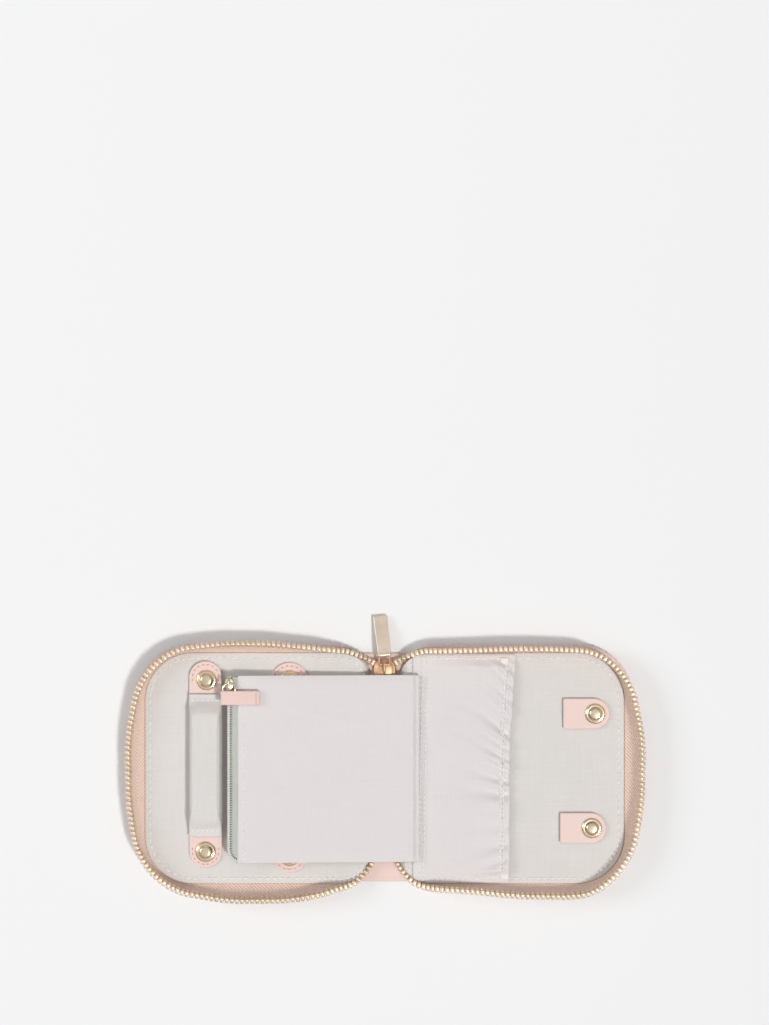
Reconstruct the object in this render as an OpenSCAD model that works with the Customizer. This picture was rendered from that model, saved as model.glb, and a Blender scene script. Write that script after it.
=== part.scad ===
// Travel jewelry case that opens flat: two shallow zip-round halves joined by a spine.
// It lies open on its covers: X runs across the two halves, Y along the spine, Z is up.
// The origin is the middle of the spine's underside. Lengths are in millimetres.

/* [Case] */
// Width of the spine between its two fold lines
spine_w = 20; // [18:1:22]
// Length of the spine strip along Y, waisted in from the covers
spine_h = 98; // [96:1:100]
// Reach of each leather cover from the middle of the spine
cover_x = 107; // [106:1:112]
// Length of each leather cover along Y
cover_h = 106; // [105:1:108]
// Outer corner radius of the covers
cover_r = 24; // [20:1:26]
// Height of one open half, from the table to the ends of its zip teeth
half_t = 12; // [12:0.5:14]

/* [Layers] */
// Thickness of the leather
leather_t = 1.2; // [1:0.1:1.2]
// Thickness of the stiffening boards
board_t = 1; // [0.8:0.1:1]
// Thickness of the foam under the lining
padding_t = 1.2; // [1:0.1:1.2]
// Thickness of the lining fabric
lining_t = 0.6; // [0.4:0.1:0.6]
// Reach of each lining panel from the middle of the spine
lining_x = 102.8; // [100:0.2:103]
// Length of each lining panel along Y
lining_h = 99; // [96:1:99]
// Distance from the middle of the spine to each lining's inner edge
lining_in = 5.8; // [5:0.2:7]
// Outer corner radius of the lining panels
lining_r = 20.5; // [18:0.5:22]
// Corner radius of the lining panels beside the spine
notch_r = 13; // [11:0.5:14]

/* [Zip wall] */
// Lean of the left wall at its side
left_side_lean = 6; // [3:0.2:6]
// Lean of the left wall at its top and bottom
left_end_lean = 3.5; // [1:0.1:3.5]
// Lean of the right wall at its side
right_side_lean = 6; // [3:0.2:6]
// Lean of the right wall at its top and bottom
right_end_lean = 1.3; // [0.6:0.1:3.5]
// Extra lean at the walls' bottom, taken off at their top
end_skew = 0.3; // [0:0.1:0.6]
// Thickness of the zip tape
tape_t = 0.8; // [0.6:0.1:0.9]
// Pitch of the metal teeth
tooth_pitch = 2.15; // [2.1:0.05:3]
// Length of a tooth, up the wall
tooth_len = 2.8; // [2.4:0.1:3]
// Thickness of a tooth, across the wall
tooth_w = 2.4; // [2:0.1:2.6]

/* [Ring bar and earring bar] */
// X of the ring bar's centre line
ring_x = -76.7; // [-78:0.1:-76.6]
// Width of the ring roll
ring_w = 14.6; // [12:0.2:14.8]
// Height of the ring roll's top above the table
ring_top = 11; // [9:0.5:11]
// X of the earring bar's centre line
earring_x = -40.7; // [-42:0.1:-40]
// Width of the earring bar
earring_w = 17; // [14:0.5:17]

/* [Page] */
// X of the page's hinge line
hinge_x = 14; // [13.8:0.1:14.2]
// Height of the page's hinge line
hinge_z = 6.2; // [6.2:0.1:6.4]
// Thickness of the zipped page
page_t = 2.2; // [1.8:0.1:2.2]
// Y of the page's lower edge
page_y0 = -39.8; // [-41:0.1:-39]
// Y of the page's upper edge
page_y1 = 40.2; // [39:0.1:40.3]
// Slope of the page as it lies over the left half, in degrees
page_slope = 3; // [3:0.1:3.4]
// Distance from the hinge line to the page's zip chain
page_reach = 80.2; // [78:0.1:80.4]

/* [Snaps] */
// Diameter of a snap's domed cap
cap_d = 6.9; // [6:0.1:7.2]
// Diameter of a snap's flat flange
flange_d = 8.8; // [8:0.1:9]
// Diameter of a snap's stud
stud_d = 3.2; // [2.8:0.1:3.4]

/* [Hidden] */
$fn = 48;
eps = 0.05;                                   // gap between neighbouring pieces
fold_x = spine_w / 2;                         // the two fold lines
fold_edge = fold_x - eps;
lip_t = 1.1;                                  // turned-up rim of a cover
lip_z = 4;
board_z = leather_t + eps;
padding_z = board_z + board_t + eps;
lining_z = padding_z + padding_t + eps;
bed_z = lining_z + lining_t + eps;            // top of the lining, where things rest
wall_x = lining_x + 1;                        // foot of the zip wall
wall_h = lining_h + 1.8;
wall_r = lining_r + 1;
wall_z = leather_t + eps;
wall_start = fold_x + 3;                      // walls stop short of the folds
wall_low = 7.2;                                // height of the wall where it starts
tooth_gap = 0.5;                              // between the tape's edge and its teeth
wall_rise = 13;                               // X over which it climbs to half_t
lean_rise = 42;                               // X over which it reaches its full lean
tape_color = [0.89, 0.71, 0.64];
leather_color = [0.94, 0.82, 0.78];
lining_color = [0.85, 0.84, 0.82];
fabric_color = [0.88, 0.87, 0.86];
gold_color = [0.85, 0.74, 0.56];
sage_color = [0.78, 0.81, 0.78];
tab_z = bed_z + 0.5;                          // underside of a snapped leather tab
tab_t = 1;
cap_z = tab_z + tab_t + eps;
cap_h = 1.9;
flange_t = 0.6;
ring_y0 = -29;
ring_y1 = 32;
ring_base_t = 1;
slider_y = 42;                                // middle of the main slider
slider_z = 1.95;
pull_y = 44.6;                                // hinge line of the main pull
pull_z = 7;
pull_drop = 13.5;                             // slope of the bar down to the table
pull_lean = 6.6;                              // play of the bar in its link, to one side
upper_tab = [76.6, 17];
lower_tab = [75.2, -32];
necklace_tab = [19.7, 13];
page_slider_y = 36.9;
chain_r = 1;

// --- outlines and curves -------------------------------------------------------------

function smooth(t) = let (u = min(max(t, 0), 1)) u * u * (3 - 2 * u);

function arc(c, r, a0, a1, n) =
    [for (i = [0 : n]) let (a = a0 + (a1 - a0) * i / n) c + r * [cos(a), sin(a)]];

// A panel with a spine side at x0, an outer side at x1 and rounded corners.
function panel(x0, x1, h, r0, r1) = concat(
    arc([x0 + r0, h / 2 - r0], r0, 180, 90, 10),
    arc([x1 - r1, h / 2 - r1], r1, 90, 0, 12),
    arc([x1 - r1, r1 - h / 2], r1, 0, -90, 12),
    arc([x0 + r0, r0 - h / 2], r0, -90, -180, 10));

// The waist where a cover widens from the spine strip to its full length.
function waist(h, end) =
    [for (i = [0 : 8])
        [fold_x + 9 * i / 8, end * (spine_h + (h - spine_h) * smooth(i / 8)) / 2]];

function cover_outline(x1, h, r) = concat(
    waist(h, 1),
    arc([x1 - r, h / 2 - r], r, 90, 0, 12),
    arc([x1 - r, r - h / 2], r, 0, -90, 12),
    [for (i = [8 : -1 : 0]) waist(h, -1)[i]]);

// Stations along a zip wall: [foot x, foot y, outward normal x, outward normal y].
function corner_stations(c, r, a0, a1, n) =
    [for (i = [0 : n])
        let (a = a0 + (a1 - a0) * i / n)
        [c.x + r * cos(a), c.y + r * sin(a), cos(a), sin(a)]];

function side_stations(p, q, normal, n) =
    [for (i = [1 : n - 1])
        [p.x + (q.x - p.x) * i / n, p.y + (q.y - p.y) * i / n, normal.x, normal.y]];

notch_c = lining_in + notch_r;                // centre of the wall's corner by the spine
notch_wall_r = notch_r + 1;
notch_a = acos((wall_start - notch_c) / notch_wall_r);
outer_c = [wall_x - wall_r, wall_h / 2 - wall_r];

STATIONS = concat(
    corner_stations([notch_c, wall_h / 2 - notch_wall_r], notch_wall_r, notch_a, 90, 5),
    side_stations([notch_c, wall_h / 2], [outer_c.x, wall_h / 2], [0, 1], 9),
    corner_stations(outer_c, wall_r, 90, 0, 14),
    side_stations([wall_x, outer_c.y], [wall_x, -outer_c.y], [1, 0], 4),
    corner_stations([outer_c.x, -outer_c.y], wall_r, 0, -90, 14),
    side_stations([outer_c.x, -wall_h / 2], [notch_c, -wall_h / 2], [0, -1], 9),
    corner_stations([notch_c, notch_wall_r - wall_h / 2], notch_wall_r, -90, -notch_a, 5));

function wall_top(x) = wall_low + (half_t - wall_low) * smooth((x - wall_start) / wall_rise);

function wall_lean(s, side, end) =
    (side * s[2] * s[2] + (end - end_skew * sign(s[3])) * s[3] * s[3])
        * smooth((s[0] - wall_start) / lean_rise);

function foot_point(s) = [s[0], s[1], wall_z];

// End of the teeth above one station.
function rim_point(s, side, end) =
    let (lean = wall_lean(s, side, end),
         rise = wall_top(s[0]) - wall_z,
         tuck = tooth_w / 2 * lean / norm([lean, rise]) + eps)
    [s[0] + s[2] * lean, s[1] + s[3] * lean, wall_top(s[0]) - tuck];

function unit(v) = v / norm(v);

// --- shared shapes -------------------------------------------------------------------

module slab(points, z, t) {
    translate([0, 0, z])
        linear_extrude(t)
            polygon(points);
}

// Keeps only what lies on the half's own side of its fold line.
module past_fold() {
    intersection() {
        children();
        translate([fold_x + eps, -100, -1])
            cube([200, 200, 30]);
    }
}

// A closed skin over rings that all have the same number of points.
module skin(rings) {
    n = len(rings[0]);
    m = len(rings);
    sides = [for (i = [0 : m - 2], j = [0 : n - 1])
        [i * n + j, i * n + (j + 1) % n, (i + 1) * n + (j + 1) % n, (i + 1) * n + j]];
    caps = [[for (j = [n - 1 : -1 : 0]) j], [for (j = [0 : n - 1]) (m - 1) * n + j]];
    polyhedron([for (r = rings, p = r) p], concat(sides, caps));
}

// The zip tape that stands around a half, up to the feet of the teeth.
module wall_tape(side, end) {
    skin([for (s = STATIONS)
        let (foot = foot_point(s),
             rim = rim_point(s, side, end),
             top = rim - unit(rim - foot) * (tooth_len + tooth_gap),
             out = [s[2], s[3], 0] * tape_t / 2)
        [foot - out, foot + out, top + out, top - out]]);
}

// One tooth at point p, standing along up, with its width along the chain.
module tooth(p, along, up) {
    out = cross(along, up);
    multmatrix([
        [along.x, out.x, up.x, p.x],
        [along.y, out.y, up.y, p.y],
        [along.z, out.z, up.z, p.z],
        [0, 0, 0, 1]])
        translate([-tooth_pitch * 0.3, -tooth_w / 2, -tooth_len])
            cube([tooth_pitch * 0.6, tooth_w, tooth_len]);
}

// The row of teeth along a wall's rim.
module wall_teeth(side, end) {
    rims = [for (s = STATIONS) rim_point(s, side, end)];
    last = len(rims) - 1;
    run = [for (i = 0, d = 0; i <= last;
        d = d + (i < last ? norm(rims[i + 1] - rims[i]) : 0), i = i + 1) d];
    count = floor(run[last] / tooth_pitch);
    for (k = [0 : count - 1]) {
        d = (k + 0.5) * run[last] / count;
        i = max([for (j = [0 : last - 1]) if (run[j] <= d) j]);
        t = (d - run[i]) / (run[i + 1] - run[i]);
        feet = [foot_point(STATIONS[i]), foot_point(STATIONS[i + 1])];
        p = rims[i] + (rims[i + 1] - rims[i]) * t;
        foot = feet[0] + (feet[1] - feet[0]) * t;
        up = unit(p - foot);
        chord = unit(rims[i + 1] - rims[i]);
        along = unit(chord - up * (chord * up));
        tooth(p, along, up);
    }
}

// A snap's gold cap: flange, dome and the socket below for a stud.
module snap_cap(p, z) {
    translate([p.x, p.y, z])
        difference() {
            rotate_extrude()
                polygon([
                    [0, 0], [flange_d / 2, 0], [flange_d / 2, flange_t * 0.6],
                    [cap_d / 2, flange_t], [cap_d / 2, cap_h * 0.62],
                    [cap_d / 2 * 0.86, cap_h * 0.86], [cap_d / 2 * 0.5, cap_h], [0, cap_h]]);
            translate([0, 0, -1])
                cylinder(d = stud_d + 0.5, h = 1 + flange_t);
        }
}

// A snap's stud, sewn to the lining.
module stud(p) {
    translate([p.x, p.y, bed_z]) {
        cylinder(d = cap_d, h = 0.35);
        cylinder(d = stud_d, h = tab_z - bed_z + tab_t + flange_t * 0.5);
    }
}

// A leather tab with one straight end at y0 and one round end at y1, across X.
module leather_tab(x, y0, y1, w, z, t) {
    round_y = y1 - sign(y1 - y0) * w / 2;
    translate([x, 0, z])
        linear_extrude(t) {
            translate([0, round_y])
                circle(d = w);
            translate([-w / 2, min(y0, round_y)])
                square([w, abs(round_y - y0)]);
        }
}

// The hole that a stud comes up through.
module stud_hole(p)
    translate([p.x, p.y, bed_z])
        cylinder(d = stud_d + 0.5, h = 4);

// --- left and right halves -----------------------------------------------------------

module cover() {
    color(leather_color)
        past_fold()
            difference() {
                slab(cover_outline(cover_x, cover_h, cover_r), 0, lip_z);
                slab(panel(-20, cover_x - lip_t, cover_h - 2 * lip_t, 5, cover_r - lip_t),
                    leather_t, lip_z);
            }
}

module half_layer(inset, z, t, c) {
    color(c)
        past_fold()
            slab(panel(lining_in + inset, lining_x - inset, lining_h - 2 * inset, notch_r - inset,
                lining_r - inset), z, t);
}

module left_cover() mirror([1, 0, 0]) cover();
module right_cover() cover();

module left_board() mirror([1, 0, 0]) half_layer(1, board_z, board_t, "tan");
module right_board() half_layer(1, board_z, board_t, "tan");

module left_padding() mirror([1, 0, 0]) half_layer(0.6, padding_z, padding_t, "white");
module right_padding() half_layer(0.6, padding_z, padding_t, "white");

module left_lining() mirror([1, 0, 0]) half_layer(0, lining_z, lining_t, lining_color);
module right_lining() half_layer(0, lining_z, lining_t, lining_color);

module left_zip_tape()
    color(tape_color)
        mirror([1, 0, 0])
            wall_tape(left_side_lean, left_end_lean);

module right_zip_tape()
    color(tape_color)
        wall_tape(right_side_lean, right_end_lean);

module left_zip_teeth()
    color(gold_color)
        mirror([1, 0, 0])
            wall_teeth(left_side_lean, left_end_lean);

module right_zip_teeth()
    color(gold_color)
        wall_teeth(right_side_lean, right_end_lean);

// --- ring bar ------------------------------------------------------------------------

ring_snap = [ring_x + 0.4, 37.9];
ring_base_snap_y = -35.7;
ring_base_end = -42.5;
ring_tab_end = 46;

module ring_base_tab()
    color(leather_color)
        leather_tab(ring_x, ring_y0 + 3, ring_base_end, ring_w - 0.6, bed_z, ring_base_t);

module ring_base_snap()
    color(gold_color)
        snap_cap([ring_x, ring_base_snap_y], bed_z + ring_base_t + eps);

module ring_stud()
    color(gold_color)
        stud(ring_snap);

// Padded roll that rings slide onto, flattened where its ends are sewn to the tabs.
// thin draws its sections in on all sides, and over lengthens it at both ends.
roll_skin_t = 0.4;
roll_end_t = 1.3;
roll_taper = 8;
roll_flat = 1.8;
roll_low = bed_z + 0.4;

function roll_section(y, w, z, h) =
    [for (i = [0 : 31]) let (a = 360 * i / 32) [ring_x + w / 2 * cos(a), y, z + h / 2 * sin(a)]];

function roll_sections(thin, over) =
    let (w = ring_w - 2 * thin,
         h = ring_top - roll_low - 2 * thin,
         z = (ring_top + roll_low) / 2,
         end_h = roll_end_t - 2 * thin,
         end_z = cap_z + roll_end_t / 2)
    [roll_section(ring_y0 - over, w - 1.2, end_z, end_h),
     roll_section(ring_y0 + roll_flat, w - 1.2, end_z, end_h),
     roll_section(ring_y0 + roll_taper, w, z, h),
     roll_section(ring_y1 - roll_taper, w, z, h),
     roll_section(ring_y1 - roll_flat, w - 1.2, end_z, end_h),
     roll_section(ring_y1 + over, w - 1.2, end_z, end_h)];

module ring_roll()
    color(fabric_color)
        difference() {
            skin(roll_sections(0, 0));
            skin(roll_sections(roll_skin_t, 0.1));
        }

module ring_filling()
    color("white")
        skin(roll_sections(roll_skin_t + 0.1, -0.4));

module ring_tab()
    color(leather_color)
        difference() {
            leather_tab(ring_x, ring_y1 - 1.6, ring_tab_end, ring_w - 0.6, tab_z, tab_t);
            stud_hole(ring_snap);
        }

module ring_cap()
    color(gold_color)
        snap_cap(ring_snap, cap_z);

// --- earring bar ---------------------------------------------------------------------

earring_snaps_y = [37.8, -37.5];
earring_ends = [45.4, -44.6];

module earring_strap()
    color(fabric_color)
        translate([earring_x - earring_w / 2, -31, bed_z + ring_base_t + eps])
            cube([earring_w, 62, 1.4]);

module earring_tabs()
    color(leather_color)
        for (end = earring_ends)
            leather_tab(earring_x, sign(end) * 26, end, earring_w - 0.6, bed_z, ring_base_t);

module earring_snaps()
    color(gold_color)
        for (y = earring_snaps_y)
            snap_cap([earring_x, y], bed_z + ring_base_t + eps);

// --- spine and the ends of the zip chain ---------------------------------------------

module spine_cover()
    color(leather_color)
        translate([-fold_edge, -spine_h / 2, 0])
            cube([2 * fold_edge, spine_h, leather_t]);

module spine_lining()
    color(lining_color)
        for (s = [0, 1])
            mirror([s, 0, 0])
                intersection() {
                    slab(panel(lining_in, lining_x, lining_h - 2, notch_r, lining_r),
                        leather_t + eps, lining_t - 2 * eps);
                    translate([0, -100, 0])
                        cube([fold_edge, 200, 5]);
                }

// A chain end lies flat on the spine, from where the two chains meet to just short of the fold.
top_near = [3.4, 46];
top_far = [7.2, 47.5];
low_near = [1.9, -37.6];
low_far = [6.4, -43.6];
end_z = leather_t + lining_t + eps;

module end_tape(p, q, w) {
    way = unit(q - p);
    side = [-way.y, way.x] * w / 2;
    slab([p - side, q - side, q + side, p + side], end_z, 0.5);
}

module end_teeth(p, q) {
    run = norm(q - p);
    count = floor(run / tooth_pitch);
    way = unit(q - p);
    for (k = [0 : count - 1])
        translate(concat(p + way * (k + 0.5) * run / count, [end_z + 0.5 + eps]))
            rotate([0, 0, atan2(way.y, way.x)])
                translate([-tooth_pitch * 0.3, -tooth_len / 2, 0])
                    cube([tooth_pitch * 0.6, tooth_len, 1.6]);
}

module both_sides() {
    children();
    mirror([1, 0, 0])
        children();
}

module zip_top_tapes()
    color(tape_color)
        both_sides()
            end_tape(top_near + [0.6, 0.2], top_far, 3.2);

module zip_top_teeth()
    color(gold_color)
        both_sides()
            end_teeth(top_near + [0.6, 0.2], top_far);

module zip_bottom_tapes()
    color(tape_color)
        both_sides()
            end_tape(low_near, low_far, 3.2);

module zip_bottom_teeth()
    color(gold_color)
        both_sides()
            end_teeth(low_near, low_far);

module zip_stop()
    color(gold_color)
        translate([-2.2, slider_y - 8.6, end_z])
            cube([4.4, 2.6, 1.8]);

// Slider: two plates around the chain, joined by a post, with a bridge for the pull.
module main_slider()
    color(gold_color) {
        translate([0, slider_y, slider_z])
            cylinder(d = 8, h = 0.5);
        translate([0, slider_y - 1, slider_z])
            cylinder(d = 2.4, h = 2.6);
        translate([0, slider_y, slider_z + 2.4])
            cylinder(d = 8.8, h = 0.7);
        difference() {
            translate([-0.9, slider_y - 1.4, slider_z + 3])
                cube([1.8, 5.4, 3.2]);
            translate([-2, pull_y, pull_z - 1])
                rotate([0, 90, 0])
                    cylinder(d = 2.4, h = 4);
        }
    }

// --- main pull -----------------------------------------------------------------------

// Places a shape drawn flat along +Y so that it hangs from the pull's hinge line.
module on_pull()
    translate([0, pull_y, pull_z - 1])
        rotate([-pull_drop, 0, 0])
            children();

link_w = 5.2;
link_len = 4.4;
link_t = 0.8;                                 // thickness of the link's wire
bar_t = 1.8;

// Outline of the link's wire, grown by play on every side.
module link_wire(play) {
    for (x = [-1, 1])
        translate([x * (link_w - link_t) / 2, link_len / 2, 0])
            cube([link_t + 2 * play, link_len, link_t + 2 * play], center = true);
    translate([0, link_len, 0])
        cube([link_w + 2 * play, link_t + 2 * play, link_t + 2 * play], center = true);
}

// Rectangular wire link that threads the slider's bridge.
module main_pull_link()
    color(gold_color)
        on_pull() {
            translate([-link_w / 2, 0, 0])
                rotate([0, 90, 0])
                    cylinder(d = 1.2, h = link_w);
            link_wire(0);
        }

// Flat bar whose end is folded around the link's far wire.
module main_pull_bar()
    color([0.93, 0.85, 0.74])
        on_pull()
            difference() {
                translate([0, link_len, 0])
                    rotate([0, 0, pull_lean])
                        translate([0, -1.3, -bar_t / 2])
                            linear_extrude(bar_t)
                                polygon([[-2.9, 0], [2.9, 0], [3.1, 18.2], [-3.1, 18.2]]);
                link_wire(0.1);
            }

// --- pocket and necklace tabs on the right half --------------------------------------

pocket_x0 = hinge_x + 0.3;
pocket_x1 = 54.6;
pocket_y0 = -48;
pocket_y1 = 48;
pocket_rise = 1.8;                            // how far the mouth stands off the lining

module pocket_profile(x0, x1, z0, z1, t)
    polygon([[x0, z0], [x0, z0 + t], [x1, z1 + t], [x1, z1]]);

module along_y(y0, y1)
    translate([0, y1, 0])
        rotate([90, 0, 0])
            linear_extrude(y1 - y0)
                children();

module gathered_pocket()
    color(fabric_color) {
        along_y(pocket_y0, pocket_y1)
            pocket_profile(pocket_x0, pocket_x1, bed_z, bed_z + pocket_rise, 0.6);
        for (y = [pocket_y0, pocket_y1 - 0.6])
            along_y(y, y + 0.6)
                polygon([[pocket_x0, bed_z], [pocket_x1, bed_z + pocket_rise], [pocket_x1, bed_z]]);
    }

module pocket_elastic()
    color("white")
        along_y(pocket_y0 + 0.7, pocket_y1 - 0.7)
            translate([0, -0.1])
                pocket_profile(pocket_x1 - 4.6, pocket_x1 - 1.6, bed_z + 1, bed_z + 1.13, 0.45);

module page_seam()
    color(fabric_color)
        translate([hinge_x - 1.9, page_y0, bed_z])
            cube([2, page_y1 - page_y0, 0.9]);

module necklace_leather(p)
    color(leather_color)
        difference() {
            translate([p.x, p.y + necklace_tab.y / 2, 0])
                rotate([0, 0, -90])
                    leather_tab(0, 0, necklace_tab.x, necklace_tab.y, tab_z, tab_t);
            stud_hole(necklace_snap(p));
        }

function necklace_snap(p) = p + [necklace_tab.x - 6.1, necklace_tab.y / 2];

module necklace_studs()
    color(gold_color) {
        stud(necklace_snap(upper_tab));
        stud(necklace_snap(lower_tab));
    }

module upper_tab() necklace_leather(upper_tab);
module lower_tab() necklace_leather(lower_tab);
module upper_cap() color(gold_color) snap_cap(necklace_snap(upper_tab), cap_z);
module lower_cap() color(gold_color) snap_cap(necklace_snap(lower_tab), cap_z);

// --- zipped page ---------------------------------------------------------------------

// Rolled fabric edge that the page turns on.
module page_binding()
    color(fabric_color)
        translate([hinge_x, page_y1, hinge_z])
            rotate([90, 0, 0])
                cylinder(r = page_t / 2 - 0.1, h = page_y1 - page_y0);

// Places a shape drawn flat, with +X away from the hinge, so that it lies as the page.
module on_page()
    translate([hinge_x, 0, hinge_z])
        rotate([0, 180 + page_slope, 0])
            mirror([0, 0, 1])
                children();

panel_t = 0.6;
panel_x0 = page_t / 2 + 0.5;                  // the page bends 3 mm out from the roll's axis
panel_x1 = page_reach - 4.5;
page_h = page_y1 - page_y0;

module page_panel(z)
    color(fabric_color)
        on_page()
            translate([panel_x0, page_y0, z])
                cube([panel_x1 - panel_x0, page_h, panel_t]);

module page_front() page_panel(page_t / 2 - panel_t);
module page_back() page_panel(-page_t / 2);

module page_tape(z)
    color(sage_color)
        on_page()
            translate([panel_x1 + eps, page_y0 + 2, z])
                cube([page_reach - chain_r - panel_x1 - 2 * eps, page_h - 4, 0.4]);

module page_front_tape() page_tape(page_t / 2 - 0.5);
module page_back_tape() page_tape(0.1 - page_t / 2);

chain_end = 0.8;                              // room for a stop past each end of the chain

// The coil chain, taken as one rod because its coil is finer than the stitching.
module page_chain()
    color(sage_color)
        on_page()
            translate([page_reach, page_y0 + chain_end, 0])
                rotate([-90, 0, 0])
                    cylinder(r = chain_r, h = page_h - 2 * chain_end);

module page_stops()
    color(gold_color)
        on_page()
            for (y = [page_y0 + 0.05, page_y1 - 0.75])
                translate([page_reach - chain_r, y, -0.9])
                    cube([2 * chain_r, 0.7, 1.8]);

// Slider wrapped around the chain from outside, open towards the page.
slider_len = 5.4;
bridge_w = 1.4;
bridge_hole_y = page_slider_y + 0.3;

module page_slider()
    color(gold_color)
        on_page() {
            difference() {
                translate([page_reach - 1.6, page_slider_y - 2.9, -1.7])
                    cube([3.3, slider_len, 3.4]);
                translate([page_reach - 2, page_slider_y - 4, -chain_r - eps])
                    cube([chain_r + 2 + eps, 8, 2 * chain_r + 2 * eps]);
            }
            for (y = [page_slider_y - 2.6, page_slider_y + 1])
                translate([page_reach - bridge_w / 2 + 0.1, y, 1.6])
                    cube([bridge_w, 0.9, 1.6]);
            translate([page_reach - bridge_w / 2 + 0.1, page_slider_y - 2.6, 3])
                cube([bridge_w, 4.5, 0.6]);
        }

wire_r = 0.5;
pull_ring_r = 2.6;
pull_ring_z = 2.3;
page_pull_y = 30.9;

module pull_ring_place()
    translate([page_reach + 0.1, bridge_hole_y - pull_ring_r, pull_ring_z])
        children();

// Round wire ring from the slider's bridge to the pull.
module page_pull_ring()
    color(gold_color)
        on_page()
            pull_ring_place()
                rotate_extrude()
                    translate([pull_ring_r, 0])
                        circle(r = wire_r, $fn = 24);

module page_pull_tab()
    color(leather_color)
        on_page()
            difference() {
                translate([page_reach - 14.4, page_pull_y - 3, 1.35])
                    cube([16.6, 6, 1.9]);
                pull_ring_place()
                    rotate_extrude()
                        translate([pull_ring_r, 0])
                            square(2 * wire_r + 0.3, center = true);
            }

left_cover();
left_board();
left_padding();
left_lining();
left_zip_tape();
left_zip_teeth();
ring_base_tab();
ring_base_snap();
ring_stud();
earring_strap();
earring_tabs();
earring_snaps();
spine_cover();
spine_lining();
zip_top_tapes();
zip_top_teeth();
zip_bottom_tapes();
zip_bottom_teeth();
zip_stop();
main_slider();
main_pull_link();
main_pull_bar();
right_cover();
right_board();
right_padding();
right_lining();
right_zip_tape();
right_zip_teeth();
gathered_pocket();
pocket_elastic();
page_seam();
necklace_studs();
page_binding();
page_front();
page_back();
page_front_tape();
page_back_tape();
page_chain();
page_stops();
page_slider();
page_pull_ring();
page_pull_tab();
ring_roll();
ring_filling();
ring_tab();
ring_cap();
upper_tab();
upper_cap();
lower_tab();
lower_cap();
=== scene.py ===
"""Looks of a travel jewelry case that lies open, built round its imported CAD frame.

Lengths are in millimetres until make() turns them into metres. The halves mirror each
other, so most shapes are drawn for the right half and given side -1 for the left one.
"""

import math

import bpy
import numpy as np
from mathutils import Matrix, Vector


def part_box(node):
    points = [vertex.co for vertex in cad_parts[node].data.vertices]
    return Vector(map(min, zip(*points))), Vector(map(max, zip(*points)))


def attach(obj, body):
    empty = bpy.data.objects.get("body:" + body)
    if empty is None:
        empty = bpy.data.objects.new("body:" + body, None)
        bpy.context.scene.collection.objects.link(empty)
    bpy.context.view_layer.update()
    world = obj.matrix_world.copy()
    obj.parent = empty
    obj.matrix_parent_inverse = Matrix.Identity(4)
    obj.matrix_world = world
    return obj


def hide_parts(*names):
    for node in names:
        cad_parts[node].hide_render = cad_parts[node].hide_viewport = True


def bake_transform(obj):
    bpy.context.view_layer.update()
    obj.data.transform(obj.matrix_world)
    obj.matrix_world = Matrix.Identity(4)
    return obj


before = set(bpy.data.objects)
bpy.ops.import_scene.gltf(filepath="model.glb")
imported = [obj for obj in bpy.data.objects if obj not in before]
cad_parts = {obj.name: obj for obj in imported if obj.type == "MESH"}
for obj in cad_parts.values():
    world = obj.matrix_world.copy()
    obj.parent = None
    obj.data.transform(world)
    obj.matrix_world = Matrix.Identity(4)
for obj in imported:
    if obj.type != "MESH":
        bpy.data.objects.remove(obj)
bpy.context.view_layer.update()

MM = 0.001
PER_MM = (1 / MM,) * 3


def span(node):
    """A CAD node's lowest and highest corner, in millimetres."""
    lo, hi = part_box(node)
    return np.array(lo) / MM, np.array(hi) / MM


def smooth(t):
    u = np.clip(t, 0.0, 1.0)
    return u * u * (3 - 2 * u)


# --- node materials ------------------------------------------------------------------


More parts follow.
